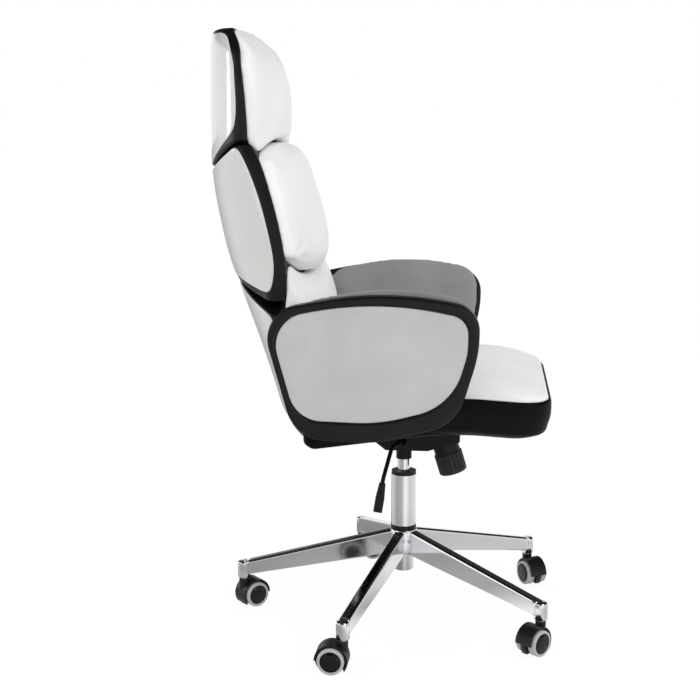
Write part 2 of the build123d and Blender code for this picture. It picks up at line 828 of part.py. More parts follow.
def arm_panel():
    gap = [band + part_gap for band in arm_band]
    corners = inset_loop(arm_corners(), gap)
    face = loop_face(corners, arm_inner_radii, arm_outer_x - arm_panel_recess - arm_panel_thickness)
    return extrude(face, amount=arm_panel_thickness, dir=(1, 0, 0))


def arm_pad():
    """Upholstered pad on the loop's inner side, with a crown towards the sitter."""
    root_x = arm_outer_x - arm_frame_width - part_gap
    crown_x = root_x - pad_thickness
    side_x = crown_x + pad_crown_depth
    outer = inset_loop(arm_corners(), pad_inset)
    drawn = inset_loop(arm_corners(), [inset + pad_crown / 3 for inset in pad_inset])
    crown = inset_loop(arm_corners(), [inset + pad_crown for inset in pad_inset])
    sections = [loop_face(drawn, pad_radii, root_x), loop_face(outer, pad_radii, (root_x + side_x) / 2)]
    sections += [loop_face(drawn, pad_radii, side_x), loop_face(crown, pad_radii, crown_x)]
    return loft(sections, ruled=True) - arm_stud_bores()


def arm_stud_span():
    """Ends along X of the studs between the seat board and an arm loop."""
    start = seat_half_width - board_inset - arm_bolt_bite
    return start, arm_outer_x - arm_frame_width + arm_bolt_bite


def arm_stud_bores():
    """Blind holes for the studs that tie both arms to the seat board."""
    radius = arm_bolt_diameter / 2 + fit_gap
    start, end = arm_stud_span()
    z = seat_z + arm_stud_height
    both = merged([cross_rod(radius, start - fit_gap, end + fit_gap, y, z) for y in arm_stud_y])
    return both + mirror(both, Plane.YZ)


def arm_back_bolt_place():
    return arm_back_bolt[0], seat_z + arm_back_bolt[1]


def arm_bolts():
    """Studs into the board, and the bolt into the lumbar frame, of the arm on the +X side."""
    start, end = arm_stud_span()
    z = seat_z + arm_stud_height
    bolts = [cross_rod(arm_bolt_diameter / 2, start, end, y, z) for y in arm_stud_y]
    back_y, back_z = arm_back_bolt_place()
    inner_x = arm_outer_x - arm_frame_width
    head_x = inner_x + arm_tab_thickness + fit_gap
    shank = cross_rod(arm_bolt_diameter / 2, inner_x - arm_bolt_bite, head_x, back_y, back_z)
    head = cross_rod(arm_bolt_head / 2, head_x, head_x + arm_bolt_head_height, back_y, back_z)
    return bolts + [shank + head]


def edge_prism(edges, grow):
    """Slab through the back between curved upper and lower edges."""
    (top_side, top_centre, top_half), (low_side, low_centre, low_half) = edges
    far = outline_reach
    y = -far
    top = seat_z + top_side + grow
    low = seat_z + low_side - grow
    top_arc = ThreePointArc((-top_half, y, top), (0, y, seat_z + top_centre + grow), (top_half, y, top))
    low_arc = ThreePointArc((low_half, y, low), (0, y, seat_z + low_centre - grow), (-low_half, y, low))
    right = Polyline((top_half, y, top), (far, y, top), (far, y, low), (low_half, y, low))
    left = Polyline((-low_half, y, low), (-far, y, low), (-far, y, top), (-top_half, y, top))
    return extrude(make_face([top_arc, right, low_arc, left]), amount=3 * far, dir=(0, 1, 0))


def panel_section(height, half, rear, edge, band, front):
    z = seat_z + height
    wall = panel_thickness
    outer = ThreePointArc((half, edge, z), (0, rear, z), (-half, edge, z))
    inner = ThreePointArc((wall - half, edge, z), (0, rear - wall, z), (half - wall, edge, z))
    ends = [Line((-half, edge, z), (wall - half, edge, z)), Line((half - wall, edge, z), (half, edge, z))]
    return make_face([outer, ends[0], inner, ends[1]])


def frame_section(height, half, rear, edge, band, front):
    z = seat_z + height
    step = half - panel_thickness - part_gap
    ledge = edge - part_gap
    crest = rear - panel_thickness - part_gap
    arc = ThreePointArc((step, ledge, z), (0, crest, z), (-step, ledge, z))
    left = Polyline((-step, ledge, z), (-half, ledge, z), (-half, band, z))
    right = Polyline((half, band, z), (half, ledge, z), (step, ledge, z))
    return make_face([arc, left, Line((-half, band, z), (half, band, z)), right])


def hollow_section(height, half, rear, edge, band, front):
    """Space inside a frame, open to the front."""
    z = seat_z + height
    side = half - frame_wall
    corner = edge - part_gap - frame_rear_wall
    crest = rear - panel_thickness - part_gap - frame_rear_wall
    mouth = band - frame_wall
    arc = ThreePointArc((side, corner, z), (0, crest, z), (-side, corner, z))
    rest = Polyline((-side, corner, z), (-side, mouth, z), (side, mouth, z), (side, corner, z))
    return make_face([arc, rest])


def cushion_section(height, half, rear, edge, band, front):
    z = seat_z + height
    back = band - part_gap
    root = half - cushion_inset
    shoulder = root - cushion_draw
    side = back - cushion_side_share * (back - front)
    arc = ThreePointArc((-shoulder, side, z), (0, front, z), (shoulder, side, z))
    rest = Polyline((shoulder, side, z), (root, back, z), (-root, back, z), (-shoulder, side, z))
    return make_face([arc, rest])


def space_section(height, half, rear, edge, band, front):
    face = Rectangle(2 * outline_reach, rear - band + 2 * part_gap)
    return Pos(0, (rear + band) / 2, seat_z + height) * face


def module_space(levels, edges):
    """Room that a back module's frame takes, with its clearance."""
    sections = [space_section(*level) for level in levels]
    return loft(sections, ruled=True) & edge_prism(edges, panel_reveal + part_gap)


def back_panel(levels, edges):
    return loft([panel_section(*level) for level in levels], ruled=True) & edge_prism(edges, 0)


def back_frame(levels, edges, spine_slot):
    body = loft([frame_section(*level) for level in levels], ruled=True) & edge_prism(edges, panel_reveal)
    hollow = loft([hollow_section(*level) for level in levels], ruled=True)
    hollow = hollow & edge_prism(edges, panel_reveal - frame_wall)
    return body - hollow - spine_slot


def back_cushion(levels, edges):
    return loft([cushion_section(*level) for level in levels], ruled=True) & edge_prism(edges, 0)


def lumbar_frame(spine_slot):
    """Lumbar frame with the two side blocks that the arms bolt to."""
    frame = back_frame(lumbar_levels, (lumbar_edges[0], lumbar_frame_low), spine_slot)
    y, z = arm_back_bolt_place()
    length, tall = arm_block_size
    inner = max(level[1] for level in lumbar_levels) - frame_wall
    outer = arm_outer_x - arm_frame_width - part_gap
    block = slab(inner, outer, y - length / 2, y + length / 2, z - tall / 2, z + tall / 2)
    bore = cross_rod(arm_bolt_diameter / 2 + fit_gap, outer - arm_bolt_bite, outer, y, z)
    frame = frame + block + mirror(block, Plane.YZ)
    return frame - bore - mirror(bore, Plane.YZ)


def back_spine(grow):
    """Bent steel strip; grow widens it to cut its own slots."""
    points = [(0, y, seat_z + height) for y, height in spine_points]
    line = FilletPolyline(*points, radius=spine_bends)
    start = Plane(origin=line @ 0, x_dir=(1, 0, 0), z_dir=line % 0)
    strip = start * Rectangle(spine_width + 2 * grow, spine_thickness + 2 * grow)
    return sweep(strip, path=line)


def spine_with_holes():
    spine = back_spine(0)
    low = seat_z + spine_points[0][1] - spine_thickness
    for x, y in spine_bolt_places():
        spine = spine - Pos(x, y, 0) * rod(seat_bolt_diameter / 2 + fit_gap, low, seat_z)
    return spine


def build_casters():
    hood = caster_hood()
    pins = caster_pins()
    wheels = {"left": caster_wheel(1), "right": caster_wheel(-1)}
    for k, heading in enumerate(caster_headings):
        angle = radians(leg_angle(k))
        place = Pos(caster_circle * cos(angle), caster_circle * sin(angle), 0) * Rot(0, 0, heading)
        write(f"caster_{k}_hood", place * hood)
        write(f"caster_{k}_pins", *[place * pin for pin in pins])
        for side, solids in wheels.items():
            write(f"caster_{k}_wheel_{side}", *[place * solid for solid in solids])


def build_lift():
    write("base_star", base_star())
    neck_radius = hub_bore_top
    write("hub_ring", tube(hub_ring_diameter / 2, neck_radius, hub_top, ring_top - fit_gap))
    write("column_tube", column_tube())
    write("guide_bush", guide_bush())
    bore = rod_diameter / 2 + fit_gap
    bearing_top = foot_plate_top + bearing_height
    write("thrust_bearing", tube(bearing_diameter / 2, bore, foot_plate_top, bearing_top))
    write("piston_rod", piston_rod())
    clip_top = foot_plate_bottom - part_gap
    write("retaining_clip", tube(clip_diameter / 2, bore, clip_top - clip_height, clip_top))
    write("gas_cylinder", gas_cylinder())
    write("valve_button", rod(valve_diameter / 2, cylinder_top - cylinder_cap + fit_gap, valve_top))


def build_mechanism():
    write("mechanism_housing", mechanism_housing())
    write("seat_plate", seat_plate())
    write("tilt_axle", tilt_axle())
    write("spring_cup", spring_cup())
    write("tension_spring", tension_spring())
    write("tension_bolt", tension_bolt())
    write("tension_knob", tension_knob())
    write("lift_lever", lift_lever())
    write("lever_pin", lever_pin())
    write("lever_grip", lever_grip())


def build_seat():
    form = seat_form()
    write("seat_board", seat_board())
    write("seat_cover", seat_cover(form))
    write("seat_cushion", seat_cushion(form))
    write("seat_bolts", *seat_bolts())


def build_arms():
    pieces = {"frame": arm_frame(), "panel": arm_panel(), "pad": arm_pad()}
    for name, solid in pieces.items():
        write(f"arm_{name}_left", solid)
        write(f"arm_{name}_right", mirror(solid, Plane.YZ))
    bolts = arm_bolts()
    write("arm_bolts", *bolts, *[mirror(bolt, Plane.YZ) for bolt in bolts])


def build_back():
    slot = back_spine(spine_slot_gap)
    write("headrest_panel", back_panel(headrest_levels, headrest_edges))
    write("headrest_frame", back_frame(headrest_levels, headrest_edges, slot))
    cushion = back_cushion(headrest_levels, headrest_cushion_edges)
    write("headrest_cushion", cushion - module_space(middle_levels, middle_edges))
    write("middle_panel", back_panel(middle_levels, middle_edges))
    write("middle_frame", back_frame(middle_levels, middle_edges, slot))
    write("middle_cushion", back_cushion(middle_levels, middle_cushion_edges))
    write("lumbar_panel", back_panel(lumbar_levels, lumbar_edges))
    write("lumbar_frame", lumbar_frame(slot))
    write("lumbar_cushion", back_cushion(lumbar_levels, lumbar_cushion_edges))
    write("back_spine", spine_with_holes())


os.makedirs("parts", exist_ok=True)
build_casters()
build_lift()
build_mechanism()
build_seat()
build_arms()
build_back()
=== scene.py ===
import json
from math import cos, pi, radians, sin

import bmesh
import bpy
import numpy as np
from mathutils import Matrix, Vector
from mathutils.bvhtree import BVHTree

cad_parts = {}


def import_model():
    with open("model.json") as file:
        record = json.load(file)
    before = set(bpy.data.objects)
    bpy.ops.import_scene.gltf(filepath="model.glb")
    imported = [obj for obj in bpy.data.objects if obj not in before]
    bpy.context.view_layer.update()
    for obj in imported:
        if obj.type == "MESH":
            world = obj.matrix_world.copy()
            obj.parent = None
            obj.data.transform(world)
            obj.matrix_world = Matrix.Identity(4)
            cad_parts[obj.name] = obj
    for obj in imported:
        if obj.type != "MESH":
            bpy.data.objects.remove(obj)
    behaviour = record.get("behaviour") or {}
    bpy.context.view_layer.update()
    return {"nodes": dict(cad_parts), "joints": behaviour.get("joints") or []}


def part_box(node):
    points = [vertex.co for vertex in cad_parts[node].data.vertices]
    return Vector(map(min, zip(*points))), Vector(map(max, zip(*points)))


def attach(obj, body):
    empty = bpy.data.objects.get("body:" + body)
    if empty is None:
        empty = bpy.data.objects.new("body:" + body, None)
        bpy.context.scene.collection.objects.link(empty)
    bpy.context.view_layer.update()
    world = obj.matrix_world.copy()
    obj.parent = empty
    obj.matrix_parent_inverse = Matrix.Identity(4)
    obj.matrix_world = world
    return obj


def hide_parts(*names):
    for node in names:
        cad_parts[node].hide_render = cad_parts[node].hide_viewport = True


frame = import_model()

# Metres, +Z up; the sitter faces -Y. Heights of seat, arm and back pieces are over the seat's underside.
SEAT_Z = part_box("seat_board")[0].z

# Each level of a back module: height, half width, rear face at the centre, panel edge,
# frame front at the side, cushion front at the centre
MODULE_LEVELS = {
    "headrest": (
        (0.440, 0.178, 0.373, 0.306, 0.286, 0.270),
        (0.520, 0.192, 0.374, 0.297, 0.275, 0.240),
        (0.585, 0.194, 0.374, 0.296, 0.277, 0.231),
        (0.650, 0.190, 0.373, 0.299, 0.284, 0.244),
        (0.700, 0.168, 0.372, 0.309, 0.294, 0.270),
        (0.724, 0.122, 0.370, 0.326, 0.312, 0.303),
    ),
    "middle": (
        (0.228, 0.228, 0.313, 0.236, 0.204, 0.174),
        (0.300, 0.234, 0.341, 0.223, 0.201, 0.161),
        (0.370, 0.228, 0.358, 0.236, 0.213, 0.170),
        (0.430, 0.218, 0.369, 0.254, 0.230, 0.187),
        (0.490, 0.206, 0.374, 0.280, 0.252, 0.207),
        (0.524, 0.196, 0.374, 0.300, 0.272, 0.226),
    ),
    "lumbar": (
        (-0.058, 0.112, 0.204, 0.160, 0.146, 0.138),
        (-0.030, 0.142, 0.223, 0.180, 0.158, 0.150),
        (0.012, 0.160, 0.242, 0.196, 0.172, 0.160),
        (0.060, 0.178, 0.256, 0.206, 0.186, 0.165),
        (0.150, 0.226, 0.283, 0.220, 0.196, 0.142),
        (0.215, 0.234, 0.308, 0.226, 0.198, 0.145),
        (0.245, 0.232, 0.319, 0.231, 0.197, 0.157),
        (0.275, 0.230, 0.330, 0.236, 0.196, 0.180),
        (0.320, 0.224, 0.342, 0.246, 0.197, 0.185),
    ),
}
# Upper and lower edge of each rear panel, frame and cushion: height at the sides, at the centre, half width
PANEL_EDGES = {
    "headrest": ((0.719, 0.718, 0.160), (0.544, 0.470, 0.194)),
    "middle": ((0.518, 0.461, 0.204), (0.250, 0.274, 0.234)),
    "lumbar": ((0.208, 0.256, 0.234), (0.008, -0.006, 0.150)),
}
FRAME_EDGES = {
    "headrest": ((0.730, 0.724, 0.160), (0.526, 0.468, 0.194)),
    "middle": ((0.522, 0.465, 0.204), (0.236, 0.262, 0.234)),
    "lumbar": ((0.212, 0.258, 0.234), (-0.046, -0.058, 0.110)),
}
CUSHION_EDGES = {
    "headrest": ((0.719, 0.729, 0.160), (0.4925, 0.524, 0.194)),
    "middle": ((0.491, 0.516, 0.204), (0.3165, 0.273, 0.234)),
    "lumbar": ((0.3155, 0.267, 0.234), (0.084, 0.080, 0.190)),
}
PANEL_CORNER = {"headrest": 0.020, "middle": 0.014, "lumbar": 0.012}
PANEL_THICKNESS = 0.004
PANEL_ROUND = 0.0022
PANEL_BACK_INSET = 0.001
FRAME_RECESS = 0.0018
FRAME_CORNER = {"headrest": 0.021, "middle": 0.018, "lumbar": 0.012}
FRAME_ROUND = 0.005
EDGE_SOFT = 0.007
CUSHION_INSET = 0.004
CUSHION_ROUND = {"headrest": 0.011, "middle": 0.007, "lumbar": 0.011}
CUSHION_SIDE_SHARE = 0.55
CUSHION_CORNER = {"headrest": 0.022, "middle": 0.008, "lumbar": 0.025}
CUSHION_TUCK = 0.005
CUSHION_LEAST = 0.012
CUSHION_BLEND = 0.030
CUSHION_BACK_INSET = 0.004
CUSHION_HELD_DEPTH = 0.002

# Seat: its widest outline, then levels of height, side inset, front inset and rear inset
SEAT_HALF_WIDTH = 0.230
SEAT_FRONT = -0.280
SEAT_REAR = 0.150
SEAT_CORNER = 0.062
SEAT_CORNER_LEAST = 0.024
SEAT_LEVELS = (
    (-0.0085, 0.034, 0.034, 0.044),
    (0.000, 0.014, 0.016, 0.026),
    (0.020, 0.004, 0.005, 0.011),
    (0.046, 0.000, 0.000, 0.000),
    (0.066, 0.003, 0.003, 0.004),
    (0.074, 0.003, 0.013, 0.003),
    (0.081, 0.010, 0.034, 0.004),
    (0.087, 0.026, 0.056, 0.006),
    (0.092, 0.052, 0.082, 0.010),
    (0.096, 0.090, 0.115, 0.020),
    (0.0985, 0.130, 0.150, 0.045),
)
SEAM_HEIGHT = 0.067
SEAM_DIP = 0.007
SEAM_FADE = 0.016
SEAM_TUCK = 0.006
SEAM_CLEARANCE = 0.001
SEAM_HELD_RISE = 0.004
SINK_START = 0.140
SINK_LENGTH = 0.120
SEWN_LINE_RISE = 0.007
SEWN_LINE_RADIUS = 0.0009
SEWN_LINE_POINTS = 300
SEWN_LINE_SIDES = 10
SEAT_TOP_CROWN = 0.001
SEAT_PUFF_REACH = 0.004
SEAT_RINGS = 18

# Apron under the seat, at each side of the mechanism: its side outline, y and height
APRON_OUTLINE = (
    (-0.130, 0.012),
    (-0.130, -0.005),
    (-0.060, -0.009),
    (0.158, -0.041),
    (0.175, -0.030),
    (0.175, 0.012),
)
APRON_RADII = (0.004, 0.008, 0.200, 0.016, 0.012, 0.004)
APRON_INNER_X = 0.104
APRON_OUTER_X = 0.213
APRON_ROUND = 0.012
APRON_BACK_INSET = 0.001

# Arm loop corners: y, height, corner radius. Band width and pad inset follow for the side after each.
ARM_LOOP = (
    (0.244, 0.225, 0.062),
    (0.023, 0.269, 0.640),
    (-0.147, 0.236, 0.049),
    (-0.147, 0.159, 0.235),
    (-0.109, 0.030, 0.084),
    (0.033, -0.0075, 0.200),
    (0.180, -0.0045, 0.075),
)
ARM_BAND = (0.015, 0.019, 0.019, 0.018, 0.033, 0.035, 0.011)
ARM_INNER_RADII = (0.060, 0.600, 0.034, 0.120, 0.110, 0.300, 0.060)
PAD_INSET = (-0.003, -0.010, 0.008, 0.008, 0.012, 0.012, 0.044)
PAD_RADII = (0.060, 0.480, 0.046, 0.180, 0.080, 0.140, 0.060)
ARM_OUTER_X = 0.280
ARM_WIDTH = 0.030
ARM_ROUND = 0.005
ARM_ROUND_STEPS = 5
ARM_LOOP_POINTS = 240
ARM_PANEL_RECESS = 0.004
ARM_PANEL_THICKNESS = 0.010
ARM_PANEL_CROWN = 0.003
ARM_PANEL_BOW = (0.6, 0.4)
ARM_PANEL_ROUND = 0.002
ARM_PANEL_BACK_INSET = 0.001
ARM_PANEL_GAP = 0.0006
PAD_THICKNESS = 0.0175
PAD_CROWN = 0.008
PAD_ROUND = 0.014
PAD_ROUND_SHARE = 0.7
PAD_BACK_INSETS = (0.003, 0.008)
PAD_GAP = 0.0003
PAD_HELD_DEPTH = 0.004
PAD_PUFF_VOXEL = 0.003
PAD_PUFF_REACH = 0.002

# Swelling of the soft forms
PUFF_VOXEL = 0.004
PUFF_REACH = 0.003
PUFF_PRESSURE = 4.0
PUFF_STEPS = 20
RELAX_STEPS = 4

# Fineness of meshes and curves
GRID = 48
OUTLINE_POINTS = 720
EDGE_POINTS = 90
CURVE_POINTS = 400
ARC_STEP = 0.004
ARC_LEAST_POINTS = 3
LATHE_TURNS = 72

# A depth past the back of every piece; surfaces stop at their own back
THROUGH = 1.0
SIDES = (("left", 1), ("right", -1))


# Outlines


def resampled(points, count=OUTLINE_POINTS):
    """Closed outline with evenly spaced points."""
    closed = np.vstack([points, points[:1]])
    steps = np.linalg.norm(np.diff(closed, axis=0), axis=1)
    along = np.concatenate([[0], np.cumsum(steps)])
    at = np.linspace(0, along[-1], count, endpoint=False)
    return np.column_stack([np.interp(at, along, closed[:, k]) for k in range(closed.shape[1])])


def rounded(points, reach):
    """Closed outline with its corners blurred over a reach."""
    outline = resampled(points)
    step = np.linalg.norm(outline[1] - outline[0])
    offset = np.arange(len(outline))
    offset = np.minimum(offset, len(outline) - offset) * step
    weight = np.exp(-0.5 * (offset / reach) ** 2)
    kernel = np.fft.fft(weight / weight.sum())
    blurred = [np.real(np.fft.ifft(np.fft.fft(outline[:, k]) * kernel)) for k in range(2)]
    return resampled(np.column_stack(blurred))


def outward(outline):
    """Unit normals of a counter-clockwise outline."""
    along = np.roll(outline, -1, axis=0) - np.roll(outline, 1, axis=0)
    normal = np.column_stack([along[:, 1], -along[:, 0]])
    return normal / np.linalg.norm(normal, axis=1, keepdims=True)


def shrunk(outline, inset):
    return outline - outward(outline) * inset


def sampled(outline, turn):
    """Points of an outline at shares of its length."""
    at = np.asarray(turn) * len(outline)
    low = np.floor(at).astype(int)
    part = (at - low)[:, None]
    return outline[low % len(outline)] * (1 - part) + outline[(low + 1) % len(outline)] * part


def started_right(outline):
    """Counter-clockwise outline that starts at the middle of its right side."""
    area = np.sum(outline[:, 0] * np.roll(outline[:, 1], -1) - np.roll(outline[:, 0], -1) * outline[:, 1])
    if area < 0:
        outline = outline[::-1]
    centre = outline.mean(axis=0)
    angle = np.arctan2(outline[:, 1] - centre[1], outline[:, 0] - centre[0])
    return np.roll(outline, -int(np.argmin(np.abs(angle))), axis=0)


def filleted(corners, radii, step=ARC_STEP):
    """Polygon with arcs at its corners, their points about a step apart."""
    points = []
    count = len(corners)
    for k in range(count):
        here = np.array(corners[k])
        back = np.array(corners[k - 1]) - here
        ahead = np.array(corners[(k + 1) % count]) - here
        back /= np.linalg.norm(back)
        ahead /= np.linalg.norm(ahead)
        opening = np.arccos(np.clip(back @ ahead, -1, 1))
        bisector = (back + ahead) / np.linalg.norm(back + ahead)
        centre = here + bisector * radii[k] / np.sin(opening / 2)
        reach = radii[k] / np.tan(opening / 2)
        start = here + back * reach - centre
        end = here + ahead * reach - centre
        sweep = pi - opening
        turn = np.sign(start[0] * end[1] - start[1] * end[0])
        for share in np.linspace(0, 1, max(ARC_LEAST_POINTS, int(sweep * radii[k] / step))):
            angle = turn * sweep * share
            x = start[0] * cos(angle) - start[1] * sin(angle)
            y = start[0] * sin(angle) + start[1] * cos(angle)
            points.append(centre + (x, y))
    return np.array(points)


def inset_corners(corners, insets):
    """Corners of a loop whose sides are moved inwards; side k follows corner k."""
    count = len(corners)
    lines = []
    for k in range(count):
        start = np.array(corners[k])
        along = np.array(corners[(k + 1) % count]) - start
        along /= np.linalg.norm(along)
        lines.append((start + insets[k] * np.array([-along[1], along[0]]), along))
    result = []
    for k in range(count):
        (a, da), (b, db) = lines[k - 1], lines[k]
        cross = da[0] * db[1] - da[1] * db[0]
        gap = b - a
        result.append(a + da * (gap[0] * db[1] - gap[1] * db[0]) / cross)
    return result


# Meshes


def disc_grid(count):
    """Square grid laid on a disc: radius and turn of its points, its quads, and its rim in order."""
    line = np.linspace(-1, 1, count + 1)
    u, v = np.meshgrid(line, line)
    x = u * np.sqrt(1 - v**2 / 2)
    y = v * np.sqrt(1 - u**2 / 2)
    index = np.arange((count + 1) ** 2).reshape(count + 1, count + 1)
    quads = np.stack([index[:-1, :-1], index[:-1, 1:], index[1:, 1:], index[1:, :-1]], axis=-1)
    rim = np.concatenate([index[0, :-1], index[:-1, -1], index[-1, :0:-1], index[:0:-1, 0]])
    turn = (np.arctan2(y, x) / (2 * pi)) % 1
    return np.hypot(x, y).ravel(), turn.ravel(), quads.reshape(-1, 4), rim


DISC_SHARE, DISC_TURN, DISC_QUADS, DISC_RIM = disc_grid(GRID)


def new_object(name, points, faces):
    mesh = bpy.data.meshes.new(name)
    mesh.from_pydata([tuple(p) for p in points], [], [tuple(int(i) for i in f) for f in faces])
    shape = bmesh.new()
    shape.from_mesh(mesh)
    bmesh.ops.recalc_face_normals(shape, faces=shape.faces)
    shape.to_mesh(mesh)
    shape.free()
    mesh.polygons.foreach_set("use_smooth", [True] * len(mesh.polygons))
    piece = bpy.data.objects.new(name, mesh)
    bpy.context.scene.collection.objects.link(piece)
    return piece


def ring_faces(rings, sides, closed):
    """Quads between neighbouring rings of points, and from the last ring to the first where they close."""
    faces = []
    for k in range(rings if closed else rings - 1):
        a, b = k * sides, (k + 1) % rings * sides
        faces += [(a + j, a + (j + 1) % sides, b + (j + 1) % sides, b + j) for j in range(sides)]
    return faces


def stacked(name, front, rings, back):
    """Closed form from a front cap, rings and a back cap, all laid out as the disc grid is."""
    count = len(DISC_RIM)
    back_start = len(front) + count * len(rings)
    loops = [DISC_RIM]
    loops += [len(front) + count * k + np.arange(count) for k in range(len(rings))]
    loops.append(back_start + DISC_RIM)
    faces = [DISC_QUADS, DISC_QUADS[:, ::-1] + back_start]
    for near, far in zip(loops, loops[1:]):
        faces.append(np.column_stack([near, np.roll(near, -1), np.roll(far, -1), far]))
    return new_object(name, np.vstack([front, *rings, back]), np.vstack(faces))


def pillow(name, outline, surface, profile):
    """Closed form over an outline. Each profile entry is an inset and a depth, from front to back."""
    centre = outline.mean(axis=0)

    def cap(inset, depth):
        edge = sampled(shrunk(outline, inset), DISC_TURN)
        flat = centre + DISC_SHARE[:, None] * (edge - centre)
        return surface(flat[:, 0], flat[:, 1], depth)

    def ring(inset, depth):
        edge = sampled(shrunk(outline, inset), DISC_TURN[DISC_RIM])
        return surface(edge[:, 0], edge[:, 1], depth)

    rings = [ring(*entry) for entry in profile[1:-1]]
    return stacked(name, cap(*profile[0]), rings, cap(*profile[-1]))


def quarter_round(radius, steps):
    """Profile entries of a rounded front edge."""
    angles = np.linspace(0, pi / 2, steps)
    return [(radius * (1 - sin(a)), radius * (1 - cos(a))) for a in angles]


def applied(piece):
    """Bake a piece's modifiers into its mesh."""
    bpy.context.view_layer.update()
    graph = bpy.context.evaluated_depsgraph_get()
    mesh = bpy.data.meshes.new_from_object(piece.evaluated_get(graph))
    piece.modifiers.clear()
    piece.data = mesh


def coordinates(piece):
    flat = np.empty(len(piece.data.vertices) * 3)
    piece.data.vertices.foreach_get("co", flat)
    return flat.reshape(-1, 3)


def set_coordinates(piece, points):
    piece.data.vertices.foreach_set("co", points.ravel())
    piece.data.update()


def tube_piece(name, points, radius, sides):
    """Closed round cord along points that run round the vertical."""
    points = np.asarray(points, float)
    along = np.roll(points, -1, axis=0) - np.roll(points, 1, axis=0)
    side = np.cross(along, (0, 0, 1))
    side /= np.linalg.norm(side, axis=1, keepdims=True)
    angles = np.linspace(0, 2 * pi, sides, endpoint=False)
    ring = side[:, None] * np.cos(angles)[None, :, None] + np.outer(np.sin(angles), (0, 0, 1))[None]
    vertices = (points[:, None] + radius * ring).reshape(-1, 3)
    return new_object(name, vertices, ring_faces(len(points), sides, True))


def puffed(piece, held, voxel=PUFF_VOXEL, reach=PUFF_REACH):
    """Swell a closed form under cloth pressure, up to a reach; the points that held() picks stay put."""
    remesh = piece.modifiers.new("remesh", "REMESH")
    remesh.mode = "VOXEL"
    remesh.voxel_size = voxel
    applied(piece)
    rest = coordinates(piece)
    group = piece.vertex_groups.new(name="held")
    group.add([int(i) for i in np.flatnonzero(held(rest))], 1.0, "REPLACE")
    cloth = piece.modifiers.new("cloth", "CLOTH")
    settings = cloth.settings
    settings.quality = 4
    settings.use_pressure = True
    settings.uniform_pressure_force = PUFF_PRESSURE
    settings.effector_weights.gravity = 0
    settings.vertex_group_mass = "held"
    cloth.collision_settings.use_collision = False
    for step in range(1, PUFF_STEPS + 1):
        bpy.context.scene.frame_set(step)
    applied(piece)
    bpy.context.scene.frame_set(1)
    move = coordinates(piece) - rest
    length = np.linalg.norm(move, axis=1, keepdims=True) + 1e-9
    set_coordinates(piece, rest + move / length * reach * np.tanh(length / reach))
    relax = piece.modifiers.new("relax", "SMOOTH")
    relax.factor = 0.5
    relax.iterations = RELAX_STEPS
    finer = piece.modifiers.new("finer", "SUBSURF")
    finer.levels = 1
    finer.render_levels = 1
    applied(piece)
    piece.data.polygons.foreach_set("use_smooth", [True] * len(piece.data.polygons))


# Materials


# The part of a noise texture's range that most of it lies in
NOISE_LOW = 0.3
NOISE_HIGH = 0.7

# Darker and lighter tone, least and most roughness, shine
LEATHERS = {
    "white_leather": ((240, 240, 239), (246, 246, 245), 0.38, 0.52, 0.50),
    "grey_leather": ((136, 136, 135), (148, 148, 147), 0.40, 0.52, 0.50),
    "black_leather": ((5, 5, 5), (9, 9, 9), 0.48, 0.60, 0.14),
}
# Darker and lighter tone
GLOSS_PANELS = {"white_gloss": ((211, 209, 207), (217, 215, 213))}
# Darker and lighter tone, least and most roughness, strength of the grain, shine
MOULDINGS = {
    "arm_white": ((187, 186, 185), (197, 196, 195), 0.28, 0.40, 0.03, 0.50),
    "black_plastic": ((12, 11, 11), (18, 17, 17), 0.38, 0.50, 0.10, 0.32),
    "hood_plastic": ((20, 20, 22), (28, 28, 30), 0.30, 0.42, 0.08, 0.35),
    "black_paint": ((8, 8, 8), (13, 13, 13), 0.42, 0.55, 0.14, 0.25),
    "knob_plastic": ((22, 22, 22), (30, 30, 30), 0.42, 0.54, 0.10, 0.50),
    "wheel_hub": ((6, 6, 8), (11, 11, 13), 0.26, 0.36, 0.06, 0.40),
    "tyre_grey": ((176, 176, 180), (190, 190, 194), 0.50, 0.62, 0.08, 0.50),
    "plywood": ((150, 118, 82), (180, 146, 104), 0.60, 0.75, 0.20, 0.50),
}
# Tone, least and most roughness
METALS = {
    "chrome": ((240, 240, 242), 0.03, 0.07),
    "leg_chrome": ((238, 238, 240), 0.08, 0.12),
    "steel": ((176, 176, 178), 0.22, 0.34),
}


def tone(colour):
    """Linear colour of an sRGB colour given from 0 to 255."""
    linear = [((c / 255 + 0.055) / 1.055) ** 2.4 if c > 10 else c / 255 / 12.92 for c in colour]
    return (*linear, 1.0)


